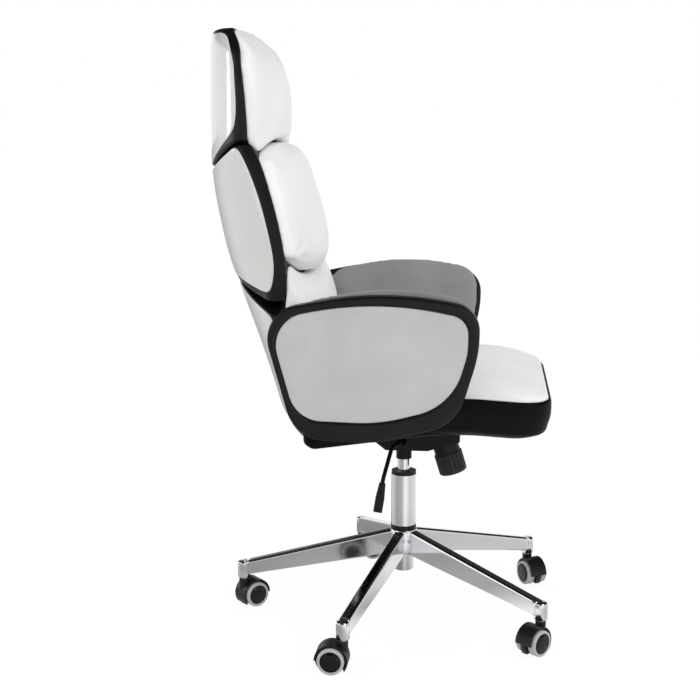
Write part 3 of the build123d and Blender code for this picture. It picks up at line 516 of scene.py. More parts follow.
class Finish:
    """Node material on the principled shader, with grain in object coordinates."""

    def __init__(self, name, colour, roughness, metallic=0.0):
        self.material = bpy.data.materials.new(name)
        self.material.use_nodes = True
        self.nodes = self.material.node_tree.nodes
        self.links = self.material.node_tree.links
        self.shader = self.nodes["Principled BSDF"]
        self.shader.inputs["Base Color"].default_value = tone(colour)
        self.shader.inputs["Roughness"].default_value = roughness
        self.shader.inputs["Metallic"].default_value = metallic
        self.place = self.nodes.new("ShaderNodeTexCoord").outputs["Object"]
        self.height = None

    def noise(self, scale, detail=3.0):
        node = self.nodes.new("ShaderNodeTexNoise")
        node.inputs["Scale"].default_value = scale
        node.inputs["Detail"].default_value = detail
        self.links.new(self.place, node.inputs["Vector"])
        return node.outputs["Fac"]

    def cells(self, scale):
        node = self.nodes.new("ShaderNodeTexVoronoi")
        node.inputs["Scale"].default_value = scale
        self.links.new(self.place, node.inputs["Vector"])
        return node.outputs["Distance"]

    def spread(self, value, low, high):
        node = self.nodes.new("ShaderNodeMapRange")
        node.inputs["From Min"].default_value = NOISE_LOW
        node.inputs["From Max"].default_value = NOISE_HIGH
        node.inputs["To Min"].default_value = low
        node.inputs["To Max"].default_value = high
        self.links.new(value, node.inputs["Value"])
        return node.outputs["Result"]

    def vary_colour(self, value, dark, light):
        node = self.nodes.new("ShaderNodeValToRGB")
        node.color_ramp.elements[0].position = NOISE_LOW
        node.color_ramp.elements[0].color = tone(dark)
        node.color_ramp.elements[1].position = NOISE_HIGH
        node.color_ramp.elements[1].color = tone(light)
        self.links.new(value, node.inputs["Fac"])
        self.links.new(node.outputs["Color"], self.shader.inputs["Base Color"])

    def vary_roughness(self, value, low, high):
        self.links.new(self.spread(value, low, high), self.shader.inputs["Roughness"])

    def bump(self, value, strength, distance):
        node = self.nodes.new("ShaderNodeBump")
        node.inputs["Strength"].default_value = strength
        node.inputs["Distance"].default_value = distance
        self.links.new(value, node.inputs["Height"])
        if self.height is not None:
            self.links.new(self.height, node.inputs["Normal"])
        self.height = node.outputs["Normal"]
        self.links.new(self.height, self.shader.inputs["Normal"])


def leather(name, dark, light, low, high, shine):
    """Coated upholstery: pebble grain over soft undulation."""
    finish = Finish(name, light, (low + high) / 2)
    finish.shader.inputs["Specular IOR Level"].default_value = shine
    finish.vary_colour(finish.noise(9.0), dark, light)
    finish.vary_roughness(finish.noise(60.0), low, high)
    finish.bump(finish.noise(28.0, detail=2.0), strength=0.10, distance=0.004)
    finish.bump(finish.cells(720.0), strength=0.22, distance=0.0004)
    finish.bump(finish.noise(2400.0), strength=0.12, distance=0.0002)
    return finish.material


def moulded(name, dark, light, low, high, grain, shine):
    """Moulded plastic, or another even finish, with a fine grain."""
    finish = Finish(name, light, (low + high) / 2)
    finish.shader.inputs["Specular IOR Level"].default_value = shine
    finish.vary_colour(finish.noise(12.0), dark, light)
    finish.vary_roughness(finish.noise(35.0), low, high)
    finish.bump(finish.noise(1500.0, detail=2.0), strength=grain, distance=0.0003)
    return finish.material


def gloss_panel(name, dark, light):
    """Polished shell with a trace of orange peel."""
    finish = Finish(name, light, 0.09)
    finish.vary_colour(finish.noise(5.0), dark, light)
    finish.vary_roughness(finish.noise(18.0), low=0.06, high=0.12)
    finish.bump(finish.noise(160.0, detail=1.0), strength=0.02, distance=0.0006)
    finish.shader.inputs["Coat Weight"].default_value = 0.4
    finish.shader.inputs["Coat Roughness"].default_value = 0.04
    return finish.material


def polished_metal(name, colour, low, high):
    """Bare or plated metal with slight waves."""
    finish = Finish(name, colour, (low + high) / 2, metallic=1.0)
    finish.vary_roughness(finish.noise(22.0), low, high)
    finish.bump(finish.noise(420.0, detail=1.0), strength=0.015, distance=0.0002)
    return finish.material


def make_materials():
    made = {}
    for make, looks in (
        (leather, LEATHERS),
        (gloss_panel, GLOSS_PANELS),
        (moulded, MOULDINGS),
        (polished_metal, METALS),
    ):
        made.update({name: make(name, *look) for name, look in looks.items()})
    return made


MATERIALS = make_materials()


def dress(piece, look, body, slot, *nodes):
    """Give a new piece its material and its body, and hide the nodes that it stands for; its slot is not
    used.
    """
    piece.data.materials.clear()
    piece.data.materials.append(MATERIALS[look])
    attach(piece, body)
    if nodes:
        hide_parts(*nodes)


def paint(node, look):
    """Give a shown node its material."""
    piece = frame["nodes"][node]
    for slot in piece.material_slots:
        slot.material = MATERIALS[look]


# Back


def smooth_column(levels, column):
    """Smooth curve of one column over height, run on straight past both ends."""
    z = np.array([level[0] for level in levels])
    value = np.array([level[column] for level in levels])
    slope = np.gradient(value, z)
    dense = np.linspace(z[0], z[-1], CURVE_POINTS)
    k = np.clip(np.searchsorted(z, dense) - 1, 0, len(z) - 2)
    span = z[k + 1] - z[k]
    t = (dense - z[k]) / span
    curve = (2 * t**3 - 3 * t**2 + 1) * value[k] + (t**3 - 2 * t**2 + t) * span * slope[k]
    curve += (3 * t**2 - 2 * t**3) * value[k + 1] + (t**3 - t**2) * span * slope[k + 1]
    past = 0.1
    dense = np.concatenate([[z[0] - past], dense, [z[-1] + past]])
    curve = np.concatenate([[value[0] - past * slope[0]], curve, [value[-1] + past * slope[-1]]])
    return lambda at: np.interp(at, dense, curve)


COLUMNS = ("half", "rear", "edge", "band", "front")
MODULES = {
    name: {column: smooth_column(levels, k + 1) for k, column in enumerate(COLUMNS)}
    for name, levels in MODULE_LEVELS.items()
}


def arc_length(module, z):
    """Length of the rear arc from the centre to the panel's edge, and its radius."""
    half = module["half"](z)
    rise = module["rear"](z) - module["edge"](z)
    radius = (half**2 + rise**2) / (2 * rise)
    return radius * np.arcsin(np.clip(half / radius, -1, 1)), radius


def sharp_point(module, a, z):
    """Point of the rear shell, a along its section from the centre; past the arc it runs forward."""
    arc, radius = arc_length(module, z)
    reach = np.abs(a)
    angle = np.minimum(reach, arc) / radius
    x = np.sign(a) * radius * np.sin(angle)
    y = module["rear"](z) - radius * (1 - np.cos(angle)) - np.maximum(reach - arc, 0)
    return np.column_stack([x, y, z + SEAT_Z])


def shell_point(module, a, z):
    """Point of the rear shell with the corner between rear and side softened."""
    steps = 3
    total = sum(sharp_point(module, a + EDGE_SOFT * k / steps, z) for k in range(-steps, steps + 1))
    return total / (2 * steps + 1)


def shell_normal(module, a, z):
    step = 0.0008
    across = shell_point(module, a + step, z) - shell_point(module, a - step, z)
    up = shell_point(module, a, z + step) - shell_point(module, a, z - step)
    normal = np.cross(up, across)
    return normal / np.linalg.norm(normal, axis=1, keepdims=True)


def edge_height(edge, x):
    side, centre, half = edge
    return centre + (side - centre) * (x / half) ** 2


def shell_outline(module, edges, side_reach, corner):
    """Outline on the unrolled rear shell between the curved upper and lower edges."""
    top, low = edges
    heights = np.linspace(low[0], top[0], EDGE_POINTS)
    right = np.column_stack([side_reach(heights), heights])
    shares = np.linspace(1, -1, EDGE_POINTS)[1:-1]

    def across(edge):
        a = shares * side_reach(np.array([edge[0]]))[0]
        x = sharp_point(module, a, np.full_like(a, edge[0]))[:, 0]
        return np.column_stack([a, edge_height(edge, x)])

    upper = across(top)
    lower = across(low)[::-1]
    left = right[::-1] * (-1, 1)
    return started_right(rounded(np.vstack([right, upper, left, lower]), corner))


def back_panel(name):
    """White shell on the rear of a module."""
    module = MODULES[name]
    outline = shell_outline(module, PANEL_EDGES[name], lambda z: arc_length(module, z)[0], PANEL_CORNER[name])

    def surface(a, z, depth):
        return shell_point(module, a, z) - depth * shell_normal(module, a, z)

    profile = quarter_round(PANEL_ROUND, 5) + [(0, PANEL_THICKNESS), (PANEL_BACK_INSET, PANEL_THICKNESS)]
    piece = pillow(f"{name}_rear_shell", outline, surface, profile)
    dress(piece, "white_gloss", "seat", "white_gloss", f"{name}_panel")


def back_frame(name):
    """Black frame under the panel, with the band that shows at its sides."""
    module = MODULES[name]

    def reach(z):
        return arc_length(module, z)[0] + module["edge"](z) - module["band"](z)

    outline = shell_outline(module, FRAME_EDGES[name], reach, FRAME_CORNER[name])

    def surface(a, z, depth):
        outer = shell_point(module, a, z) - FRAME_RECESS * shell_normal(module, a, z)
        front = np.column_stack([outer[:, 0], module["band"](z), z + SEAT_Z])
        gap = front - outer
        length = np.linalg.norm(gap, axis=1, keepdims=True) + 1e-9
        return outer + gap * np.minimum(depth / length, 1)

    profile = quarter_round(FRAME_ROUND, 6) + [(0, THROUGH), (FRAME_ROUND, THROUGH)]
    piece = pillow(f"{name}_band", outline, surface, profile)
    dress(piece, "black_plastic", "seat", "black_plastic", f"{name}_frame")


def back_cushion(name):
    """Cushion on the front of a module, tucked into its frame."""
    module = MODULES[name]
    top, low = CUSHION_EDGES[name]
    heights = np.linspace(low[0], top[0], EDGE_POINTS)
    right = np.column_stack([module["half"](heights) - CUSHION_INSET, heights])
    shares = np.linspace(1, -1, EDGE_POINTS)[1:-1]
    upper_x = shares * right[-1, 0]
    lower_x = shares[::-1] * right[0, 0]
    upper = np.column_stack([upper_x, edge_height(top, upper_x)])
    lower = np.column_stack([lower_x, edge_height(low, lower_x)])
    left = right[::-1] * (-1, 1)
    outline = started_right(rounded(np.vstack([right, upper, left, lower]), CUSHION_CORNER[name]))

    def back_face(z):
        back = module["band"](z)
        if name == "headrest":
            overlap = np.clip((FRAME_EDGES["middle"][0][0] + CUSHION_BLEND - z) / CUSHION_BLEND, 0, 1)
            back = back + overlap * (np.minimum(MODULES["middle"]["band"](z), back) - back)
        return back + CUSHION_TUCK

    def surface(x, z, depth):
        back = back_face(z)
        front = np.minimum(module["front"](z), back - CUSHION_LEAST)
        side = back - CUSHION_SIDE_SHARE * (back - front)
        crown = front + (side - front) * (x / module["half"](z)) ** 2
        return np.column_stack([x, np.minimum(crown + depth, back), z + SEAT_Z])

    profile = quarter_round(CUSHION_ROUND[name], 8) + [(0, THROUGH), (CUSHION_BACK_INSET, THROUGH)]
    piece = pillow(f"{name}_pad", outline, surface, profile)

    def held(points):
        return points[:, 1] > back_face(points[:, 2] - SEAT_Z) - CUSHION_TUCK - CUSHION_HELD_DEPTH

    puffed(piece, held)
    dress(piece, "white_leather", "seat", "white_upholstery", f"{name}_cushion")


# Seat


def seat_ring(side_inset, front_inset, rear_inset):
    """Rounded rectangle of the seat at one height, started at its right side."""
    half = SEAT_HALF_WIDTH - side_inset
    front = SEAT_FRONT + front_inset
    rear = SEAT_REAR - rear_inset
    corner = max(SEAT_CORNER_LEAST, SEAT_CORNER - side_inset / 2)
    corners = [(half, front), (half, rear), (-half, rear), (-half, front)]
    return started_right(resampled(filleted(corners, [corner] * 4)))


SEAT_INSETS = [smooth_column(SEAT_LEVELS, column) for column in (1, 2, 3)]


def seat_outline(height, extra):
    return seat_ring(*[max(float(inset(height)), 0) + extra for inset in SEAT_INSETS])


def seat_points(flat, height):
    """Points at a height, sunk towards the front edge up to a little over the seam."""
    sink = SEAM_DIP * np.clip((-flat[:, 1] - SINK_START) / SINK_LENGTH, 0, 1)
    sink = sink * np.clip(1 - (height - SEAM_HEIGHT) / SEAM_FADE, 0, 1)
    return np.column_stack([flat, SEAT_Z + height - sink])


def seat_form(name, levels, top_crown):
    """Closed form through the seat's rings; each level is a height and an extra inset."""

    def cap(height, extra, crown):
        outline = seat_outline(height, extra)
        centre = outline.mean(axis=0)
        flat = centre + DISC_SHARE[:, None] * (sampled(outline, DISC_TURN) - centre)
        points = seat_points(flat, height)
        points[:, 2] += crown * (1 - DISC_SHARE**2)
        return points

    def ring(height, extra):
        return seat_points(sampled(seat_outline(height, extra), DISC_TURN[DISC_RIM]), height)

    rings = [ring(*level) for level in levels[1:-1]]
    return stacked(name, cap(*levels[0], top_crown), rings, cap(*levels[-1], 0))


def sewn_line(cushion):
    """Sewn line round the seat cushion, laid on its surface."""
    height = SEAM_HEIGHT + SEWN_LINE_RISE
    turns = np.linspace(0, 1, SEWN_LINE_POINTS, endpoint=False)
    guide = seat_points(sampled(seat_outline(height, 0), turns), height)
    surface = BVHTree.FromObject(cushion, bpy.context.evaluated_depsgraph_get())
    points = [surface.find_nearest(Vector(point))[0] for point in guide]
    piece = tube_piece("seat_sewn_line", points, SEWN_LINE_RADIUS, SEWN_LINE_SIDES)
    dress(piece, "white_leather", "seat", "white_upholstery")


def seat_apron(name, side):
    """Padded apron under the seat, at one side of the mechanism."""
    corners = [(y, SEAT_Z + height) for y, height in APRON_OUTLINE]
    outline = started_right(resampled(filleted(corners, APRON_RADII)))

    def surface(y, z, depth):
        return np.column_stack([np.full(len(y), (APRON_OUTER_X - depth) * side), y, z])

    width = APRON_OUTER_X - APRON_INNER_X
    profile = quarter_round(APRON_ROUND, 7) + [(0, width), (APRON_BACK_INSET, width)]
    apron = pillow(f"seat_apron_{name}", outline, surface, profile)
    dress(apron, "black_leather", "seat", "black_upholstery")


def seat():
    """White cushion with its sewn line, black side band and two aprons."""
    top, bottom = SEAT_LEVELS[-1][0], SEAT_LEVELS[0][0]
    levels = [(height, 0) for height in np.linspace(top, SEAM_HEIGHT, SEAT_RINGS)]
    levels.append((SEAM_HEIGHT - SEAM_TUCK, SEAM_TUCK))
    cushion = seat_form("seat_pad", levels, SEAT_TOP_CROWN)
    held_top = SEAT_Z + SEAM_HEIGHT + SEAM_HELD_RISE
    puffed(cushion, lambda points: points[:, 2] < held_top, reach=SEAT_PUFF_REACH)
    sewn_line(cushion)
    dress(cushion, "white_leather", "seat", "white_upholstery", "seat_cushion")
    levels = [(height, 0) for height in np.linspace(SEAM_HEIGHT - SEAM_CLEARANCE, bottom, SEAT_RINGS)]
    band = seat_form("seat_side_band", levels, 0)
    dress(band, "black_leather", "seat", "black_upholstery", "seat_cover")
    for name, side in SIDES:
        seat_apron(name, side)


# Arms


def arm_corners():
    return [(y, SEAT_Z + height) for y, height, _ in ARM_LOOP]


def by_angle(outline, centre, angles):
    """Points of a star-shaped outline at these angles about a centre."""
    offset = outline - centre
    turn = np.arctan2(offset[:, 1], offset[:, 0]) % (2 * pi)
    order = np.argsort(turn)
    turn = turn[order]
    reach = np.linalg.norm(offset, axis=1)[order]
    radius = np.interp(angles, turn, reach, period=2 * pi)
    return centre + radius[:, None] * np.column_stack([np.cos(angles), np.sin(angles)])


def arm_frame(name, side):
    """Closed loop with rounded edges between an outer and an inner outline."""
    outer = resampled(filleted(arm_corners(), [radius for _, _, radius in ARM_LOOP]))
    inner = resampled(filleted(inset_corners(arm_corners(), ARM_BAND), ARM_INNER_RADII))
    centre = inner.mean(axis=0)
    angles = np.linspace(0, 2 * pi, ARM_LOOP_POINTS, endpoint=False)
    out = by_angle(outer, centre, angles)
    into = by_angle(inner, centre, angles) - out
    width = np.linalg.norm(into, axis=1, keepdims=True)
    into /= width
    r = ARM_ROUND
    turns = np.linspace(0, pi / 2, ARM_ROUND_STEPS)
    section = [(r * (1 - cos(t)), ARM_WIDTH - r * (1 - sin(t)), False) for t in turns]
    section += [(r * (1 - sin(t)), ARM_WIDTH - r * (1 - cos(t)), True) for t in turns]
    section += [(r / 2, 0, True), (r / 2, 0, False), (0, r / 2, False)]
    rings = []
    for from_edge, x, inside in section:
        flat = out + into * (width - from_edge if inside else from_edge)
        rings.append(np.column_stack([np.full(len(flat), ARM_OUTER_X - ARM_WIDTH + x) * side, flat]))
    piece = new_object(f"arm_loop_{name}", np.vstack(rings), ring_faces(len(rings), ARM_LOOP_POINTS, True))
    dress(piece, "black_plastic", "seat", "black_plastic", f"arm_frame_{name}")


def arm_panel(name, side):
    """White panel in the arm's loop, bowed outwards."""
    corners = inset_corners(arm_corners(), [band + ARM_PANEL_GAP for band in ARM_BAND])
    outline = started_right(resampled(filleted(corners, ARM_INNER_RADII)))
    centre = outline.mean(axis=0)
    reach = np.abs(outline - centre).max(axis=0)

    def surface(y, z, depth):
        bow = 1 - ((y - centre[0]) / reach[0]) ** 2 * ARM_PANEL_BOW[0]
        bow = bow - ((z - centre[1]) / reach[1]) ** 2 * ARM_PANEL_BOW[1]
        x = ARM_OUTER_X - ARM_PANEL_RECESS - depth
        x = x + ARM_PANEL_CROWN * np.clip(bow, 0, 1) * (depth < ARM_PANEL_THICKNESS)
        return np.column_stack([x * side, y, z])

    profile = quarter_round(ARM_PANEL_ROUND, 5)
    profile += [(0, ARM_PANEL_THICKNESS), (ARM_PANEL_BACK_INSET, ARM_PANEL_THICKNESS)]
    piece = pillow(f"arm_shell_{name}", outline, surface, profile)
    dress(piece, "arm_white", "seat", "white_gloss", f"arm_panel_{name}")


def arm_pad(name, side):
    """Grey pad on the arm's inner face."""
    corners = inset_corners(arm_corners(), PAD_INSET)
    outline = started_right(resampled(filleted(corners, PAD_RADII)))
    root = ARM_OUTER_X - ARM_WIDTH - PAD_GAP
    centre = outline.mean(axis=0)
    reach = np.abs(outline - centre).max(axis=0)

    def surface(y, z, share):
        bow = 1 - ((y - centre[0]) / reach[0]) ** 2 - ((z - centre[1]) / reach[1]) ** 2
        front = root - PAD_THICKNESS + PAD_CROWN * (1 - np.clip(bow, 0, 1))
        return np.column_stack([(front + (root - front) * share) * side, y, z])

    angles = np.linspace(0, pi / 2, 8)
    profile = [(PAD_ROUND * (1 - sin(a)), PAD_ROUND_SHARE * (1 - cos(a))) for a in angles]
    profile += [(inset, 1.0) for inset in PAD_BACK_INSETS]
    piece = pillow(f"arm_cushion_{name}", outline, surface, profile)
    held_from = root - PAD_HELD_DEPTH
    puffed(piece, lambda points: np.abs(points[:, 0]) > held_from, PAD_PUFF_VOXEL, PAD_PUFF_REACH)
    dress(piece, "grey_leather", "seat", "grey_upholstery", f"arm_pad_{name}")


# Wheels: profiles of radius and distance from the middle towards the outer face
TYRE_PROFILE = (
    (0.0195, -0.0085), (0.0226, -0.0085), (0.0244, -0.0076), (0.0250, -0.0058), (0.0250, 0.0052),
    (0.0245, 0.0072), (0.0232, 0.0083), (0.0205, 0.0086), (0.0197, 0.0080), (0.0195, 0.0060),
)
HUB_PROFILE = (
    (0.0044, -0.0084), (0.0192, -0.0084), (0.0194, -0.0060), (0.0194, 0.0062), (0.0190, 0.0076),
    (0.0180, 0.0079), (0.0174, 0.0066), (0.0166, 0.0066), (0.0158, 0.0080), (0.0120, 0.0088),
    (0.0060, 0.0092), (0.0000, 0.0093),
)


def turned_mesh(profile, centre, axis, closed):
    """Points and faces of a form turned about an axis through a centre."""
    axis = Vector(axis).normalized()
    side = axis.orthogonal().normalized()
    other = axis.cross(side)
    points = []
    for radius, along in profile:
        for k in range(LATHE_TURNS):
            angle = 2 * pi * k / LATHE_TURNS
            points.append(centre + axis * along + (side * cos(angle) + other * sin(angle)) * radius)
    return points, ring_faces(len(profile), LATHE_TURNS, closed)


def joined_at_poles(piece):
    """Merge the points that lie on an axis."""
    shape = bmesh.new()
    shape.from_mesh(piece.data)
    bmesh.ops.remove_doubles(shape, verts=shape.verts, dist=1e-6)
    bmesh.ops.recalc_face_normals(shape, faces=shape.faces)
    shape.to_mesh(piece.data)
    shape.free()
    return piece


def lathe(name, profile, centre, axis, closed):
    return joined_at_poles(new_object(name, *turned_mesh(profile, centre, axis, closed)))


# Five-legged base: heights of a leg's upper and lower edge and half widths, at the middle and at the tip;
# profiles of radius and height
LEG_COUNT = 5
LEG_FIRST_ANGLE = 92.0
LEG_REACH = 0.326
LEG_TOP = (0.1788, 0.0968)
LEG_LOW = (0.1278, 0.0688)
LEG_HALF = (0.0110, 0.0110)
LEG_START = 0.016
LEG_STATIONS = 24
LEG_RING_POINTS = 160
LEG_ARC_STEP = 0.0006
LEG_CORNER_RADII = (0.002, 0.002, 0.0055, 0.0055)
HUB_SHAPE = (
    (0.0180, 0.0898), (0.0200, 0.0898), (0.0210, 0.0908), (0.0210, 0.1264), (0.0222, 0.1278),
    (0.0258, 0.1280), (0.0270, 0.1292), (0.0270, 0.1734), (0.0262, 0.1746), (0.0200, 0.1748),
)
SOCKET_SHAPE = (
    (0.0000, 0.0628), (0.0115, 0.0628), (0.0125, 0.0638), (0.0125, 0.0930), (0.0118, 0.0952),
    (0.0098, 0.0966), (0.0000, 0.0969),
)


def leg_mesh(angle):
    """Tapered leg with rounded upper edges."""
    stations = np.linspace(LEG_START, LEG_REACH, LEG_STATIONS)
    along = np.array([cos(angle), sin(angle)])
    across = np.array([-sin(angle), cos(angle)])
    points = []
    for station in stations:
        share = station / LEG_REACH
        top, low, half = (pair[0] + (pair[1] - pair[0]) * share for pair in (LEG_TOP, LEG_LOW, LEG_HALF))
        corners = [(-half, low), (half, low), (half, top), (-half, top)]
        ring = resampled(filleted(corners, LEG_CORNER_RADII, LEG_ARC_STEP), LEG_RING_POINTS)
        flat = station * along + ring[:, :1] * across
        points.append(np.column_stack([flat, np.minimum(ring[:, 1], HUB_SHAPE[-1][1])]))
    faces = ring_faces(LEG_STATIONS, LEG_RING_POINTS, False)
    last = (LEG_STATIONS - 1) * LEG_RING_POINTS
    faces.append(tuple(range(LEG_RING_POINTS))[::-1])
    faces.append(tuple(range(last, last + LEG_RING_POINTS)))
    return np.vstack(points), faces


def star_base():
    """Hub, legs and caster sockets in one piece."""
    parts = [turned_mesh(HUB_SHAPE, Vector((0, 0, 0)), (0, 0, 1), True)]
    for k in range(LEG_COUNT):
        angle = radians(LEG_FIRST_ANGLE + k * 360 / LEG_COUNT)
        tip = Vector((LEG_REACH * cos(angle), LEG_REACH * sin(angle), 0))
        parts.append(leg_mesh(angle))
        parts.append(turned_mesh(SOCKET_SHAPE, tip, (0, 0, 1), False))
    points, faces = [], []
    for part_points, part_faces in parts:
        faces += [tuple(i + len(points) for i in face) for face in part_faces]
        points += [tuple(point) for point in part_points]
    piece = joined_at_poles(new_object("star_legs", points, faces))
    dress(piece, "leg_chrome", "base", "polished_chrome", "base_star")


def wheels():
    """Tyre and hub of each caster wheel."""
    for joint in frame["joints"]:
        node = joint["child"]
        if "_wheel_" not in node:
            continue
        low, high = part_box(node)
        centre = (low + high) / 2
        outward_axis = Vector(joint["axis"]) * (1 if node.endswith("left") else -1)
        tyre = lathe(f"{node}_tyre", TYRE_PROFILE, centre, outward_axis, True)
        hub = lathe(f"{node}_hub", HUB_PROFILE, centre, outward_axis, False)
        dress(tyre, "tyre_grey", node, "grey_tyre", node)
        dress(hub, "wheel_hub", node, "black_plastic")


# Stage


FLOOR_SIZE = 60.0
FLOOR_GREY = (0.8, 0.8, 0.8, 1.0)
FLOOR_ROUGHNESS = 0.9
FLOOR_GLOW = 1.065
FLOOR_GLOW_SHARE = 0.86
# Painted reflection and painted shadow on the floor, seen only in reflections: painted light and dark bands
# over the turn about the chair, and painted shadow that dims it near the chair over the distance
NEAR_REACH = 1.0
NEAR_PAINTED_SHADOW_TONES = ((0.04, 0.45), (0.15, 0.86), (0.27, 1.00), (0.40, 0.86), (0.50, 0.80), (0.75, 1.00))
TURN_PAINTED_REFLECTION_TONES = (
    (0.00, 1.00), (0.03, 0.80), (0.08, 0.32), (0.12, 0.40), (0.17, 0.74), (0.23, 0.60), (0.34, 0.38),
    (0.40, 0.44), (0.45, 0.44), (0.50, 0.68), (0.54, 1.00), (0.58, 1.00), (0.62, 0.80), (0.68, 0.66),
    (0.75, 0.76), (0.83, 0.80), (0.95, 1.00),
)
# Reflections see a white horizon up to one height of the sky, and a dark ceiling from another
WHITE = (1.0, 1.0, 1.0, 1.0)
CEILING = (0.03, 0.03, 0.032, 1.0)
HORIZON_HEIGHT = 0.16
CEILING_HEIGHT = 0.25
DOME_STRENGTH = 0.84


def tone_ramp(nodes, links, value, stops):
    ramp = nodes.new("ShaderNodeValToRGB")
    elements = ramp.color_ramp.elements
    while len(elements) < len(stops):
        elements.new(0.5)
    for element, (position, shade) in zip(elements, stops):
        element.position = position
        element.color = (shade, shade, shade, 1)
    links.new(value, ramp.inputs["Fac"])
    return ramp.outputs["Color"]


def computed(nodes, links, operation, first, second):
    """Math node on two sockets or numbers."""
    node = nodes.new("ShaderNodeMath")
    node.operation = operation
    for socket, value in zip(node.inputs, (first, second)):
        if isinstance(value, float):
            socket.default_value = value
        else:
            links.new(value, socket)
    return node.outputs[0]


def painted_floor_reflection(nodes, links):
    """Painted reflection of the floor as metal shows it: painted light and dark bands round the chair, and
    painted shadow that greys it near the chair.
    """
    place = nodes.new("ShaderNodeNewGeometry").outputs["Position"]
    split = nodes.new("ShaderNodeSeparateXYZ")
    links.new(place, split.inputs[0])
    angle = computed(nodes, links, "ARCTAN2", split.outputs["Y"], split.outputs["X"])
    share = computed(nodes, links, "MULTIPLY", angle, 1 / (2 * pi))
    turn = computed(nodes, links, "FRACT", share, 0.0)
    length = nodes.new("ShaderNodeVectorMath")
    length.operation = "LENGTH"
    links.new(place, length.inputs[0])
    reach = computed(nodes, links, "DIVIDE", length.outputs["Value"], NEAR_REACH)
    # Painted shadow: the floor shows darker near the chair in reflections
    near = tone_ramp(nodes, links, reach, NEAR_PAINTED_SHADOW_TONES)
    # Painted reflection: light and dark bands round the chair
    turned = tone_ramp(nodes, links, turn, TURN_PAINTED_REFLECTION_TONES)
    return computed(nodes, links, "MULTIPLY", near, turned)


def mixed(nodes, links, share, first, second):
    """Mix of two shaders."""
    node = nodes.new("ShaderNodeMixShader")
    for socket, value in zip(node.inputs, (share, first, second)):
        links.new(value, socket)
    return node.outputs[0]


def studio():
    """Pale floor that looks white from the camera, keeps the shadow, and in metal shows a painted reflection
    with painted shadow.
    """
    bpy.ops.mesh.primitive_plane_add(size=FLOOR_SIZE, location=(0, 0, 0))
    floor = bpy.context.object
    floor.name = "floor"
    material = bpy.data.materials.new("floor")
    material.use_nodes = True
    nodes, links = material.node_tree.nodes, material.node_tree.links
    shader = nodes["Principled BSDF"]
    shader.inputs["Base Color"].default_value = FLOOR_GREY
    shader.inputs["Roughness"].default_value = FLOOR_ROUGHNESS
    path = nodes.new("ShaderNodeLightPath")
    glow = nodes.new("ShaderNodeEmission")
    glow.inputs["Strength"].default_value = FLOOR_GLOW
    share = computed(nodes, links, "MULTIPLY", path.outputs["Is Camera Ray"], FLOOR_GLOW_SHARE)
    seen = mixed(nodes, links, share, shader.outputs[0], glow.outputs[0])
    # For glossy rays the floor glows with the painted reflection and painted shadow
    painted_reflection = nodes.new("ShaderNodeEmission")
    links.new(painted_floor_reflection(nodes, links), painted_reflection.inputs["Color"])
    either = mixed(nodes, links, path.outputs["Is Glossy Ray"], seen, painted_reflection.outputs[0])
    links.new(either, nodes["Material Output"].inputs["Surface"])
    floor.data.materials.append(material)


def world():
    """White round the horizon and a dark ceiling for reflections; an even dome for the light itself."""
    scene = bpy.context.scene
    scene.world = bpy.data.worlds.new("studio")
    scene.world.use_nodes = True
    nodes, links = scene.world.node_tree.nodes, scene.world.node_tree.links
    nodes.clear()
    output = nodes.new("ShaderNodeOutputWorld")
    path = nodes.new("ShaderNodeLightPath")
    place = nodes.new("ShaderNodeTexCoord")
    split = nodes.new("ShaderNodeSeparateXYZ")
    links.new(place.outputs["Generated"], split.inputs[0])
    ramp = nodes.new("ShaderNodeValToRGB")
    elements = ramp.color_ramp.elements
    elements[0].position, elements[0].color = HORIZON_HEIGHT, WHITE
    elements[1].position, elements[1].color = CEILING_HEIGHT, CEILING
    links.new(split.outputs["Z"], ramp.inputs["Fac"])
    even = nodes.new("ShaderNodeBackground")
    even.inputs["Color"].default_value = WHITE
    even.inputs["Strength"].default_value = DOME_STRENGTH
    mirror = nodes.new("ShaderNodeBackground")
    links.new(ramp.outputs["Color"], mirror.inputs["Color"])
    white = nodes.new("ShaderNodeBackground")
    white.inputs["Color"].default_value = WHITE
    lit = mixed(nodes, links, path.outputs["Is Glossy Ray"], even.outputs[0], mirror.outputs[0])
    seen = mixed(nodes, links, path.outputs["Is Camera Ray"], lit, white.outputs[0])
    links.new(seen, output.inputs["Surface"])


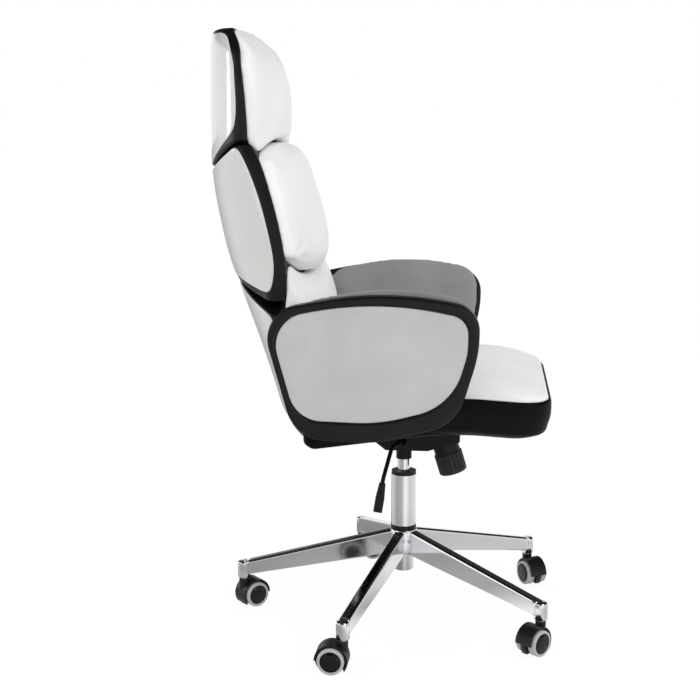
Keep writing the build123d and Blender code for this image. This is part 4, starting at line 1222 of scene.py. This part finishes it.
def lamp(name, place, target, size, power):
    data = bpy.data.lights.new(name, "AREA")
    data.shape = "RECTANGLE"
    data.size, data.size_y = size
    data.energy = power
    light = bpy.data.objects.new(name, data)
    light.location = place
    light.rotation_euler = (Vector(target) - Vector(place)).to_track_quat("-Z", "Y").to_euler()
    bpy.context.scene.collection.objects.link(light)


def camera():
    data = bpy.data.cameras.new("camera")
    data.lens = 67.26
    data.sensor_width = 36.0
    view = bpy.data.objects.new("camera", data)
    view.location = (-2.535, -0.149, 0.9995)
    target = Vector((-0.0109, 0.1074, 0.5385))
    view.rotation_euler = (target - view.location).to_track_quat("-Z", "Y").to_euler()
    bpy.context.scene.collection.objects.link(view)
    bpy.context.scene.camera = view


NODE_LOOKS = {
    "chrome": ("column_tube", "gas_cylinder", "piston_rod"),
    "steel": (
        "thrust_bearing", "retaining_clip", "valve_button", "lever_pin", "tilt_axle",
        "tension_bolt", "tension_spring", "seat_bolts", "arm_bolts",
    ),
    "black_plastic": ("hub_ring", "guide_bush", "lever_grip", "spring_cup"),
    "knob_plastic": ("tension_knob",),
    "black_paint": ("mechanism_housing", "seat_plate", "lift_lever", "back_spine"),
    "plywood": ("seat_board",),
}


def nodes_dressed():
    """Materials of the nodes that show as they are."""
    for look, nodes in NODE_LOOKS.items():
        for node in nodes:
            paint(node, look)
    for name in frame["nodes"]:
        if name.startswith("caster"):
            look = "steel" if name.endswith("pins") else "hood_plastic"
            paint(name, "wheel_hub" if "wheel" in name else look)


nodes_dressed()
for name in MODULES:
    back_frame(name)
    back_panel(name)
    back_cushion(name)
seat()
wheels()
star_base()
for name, side in SIDES:
    arm_frame(name, side)
    arm_panel(name, side)
    arm_pad(name, side)

studio()
world()
lamp("key", place=(-2.2, -2.0, 2.6), target=(0, 0, 0.6), size=(1.8, 1.8), power=30)
lamp("rear_fill", place=(-1.6, 2.4, 1.6), target=(0, 0, 0.7), size=(1.2, 1.8), power=9)
lamp("panel_strip", place=(1.0, 3.6, 1.15), target=(0, 0.3, 0.95), size=(0.55, 1.2), power=11)
camera()
scene = bpy.context.scene
scene.view_settings.view_transform = "Standard"
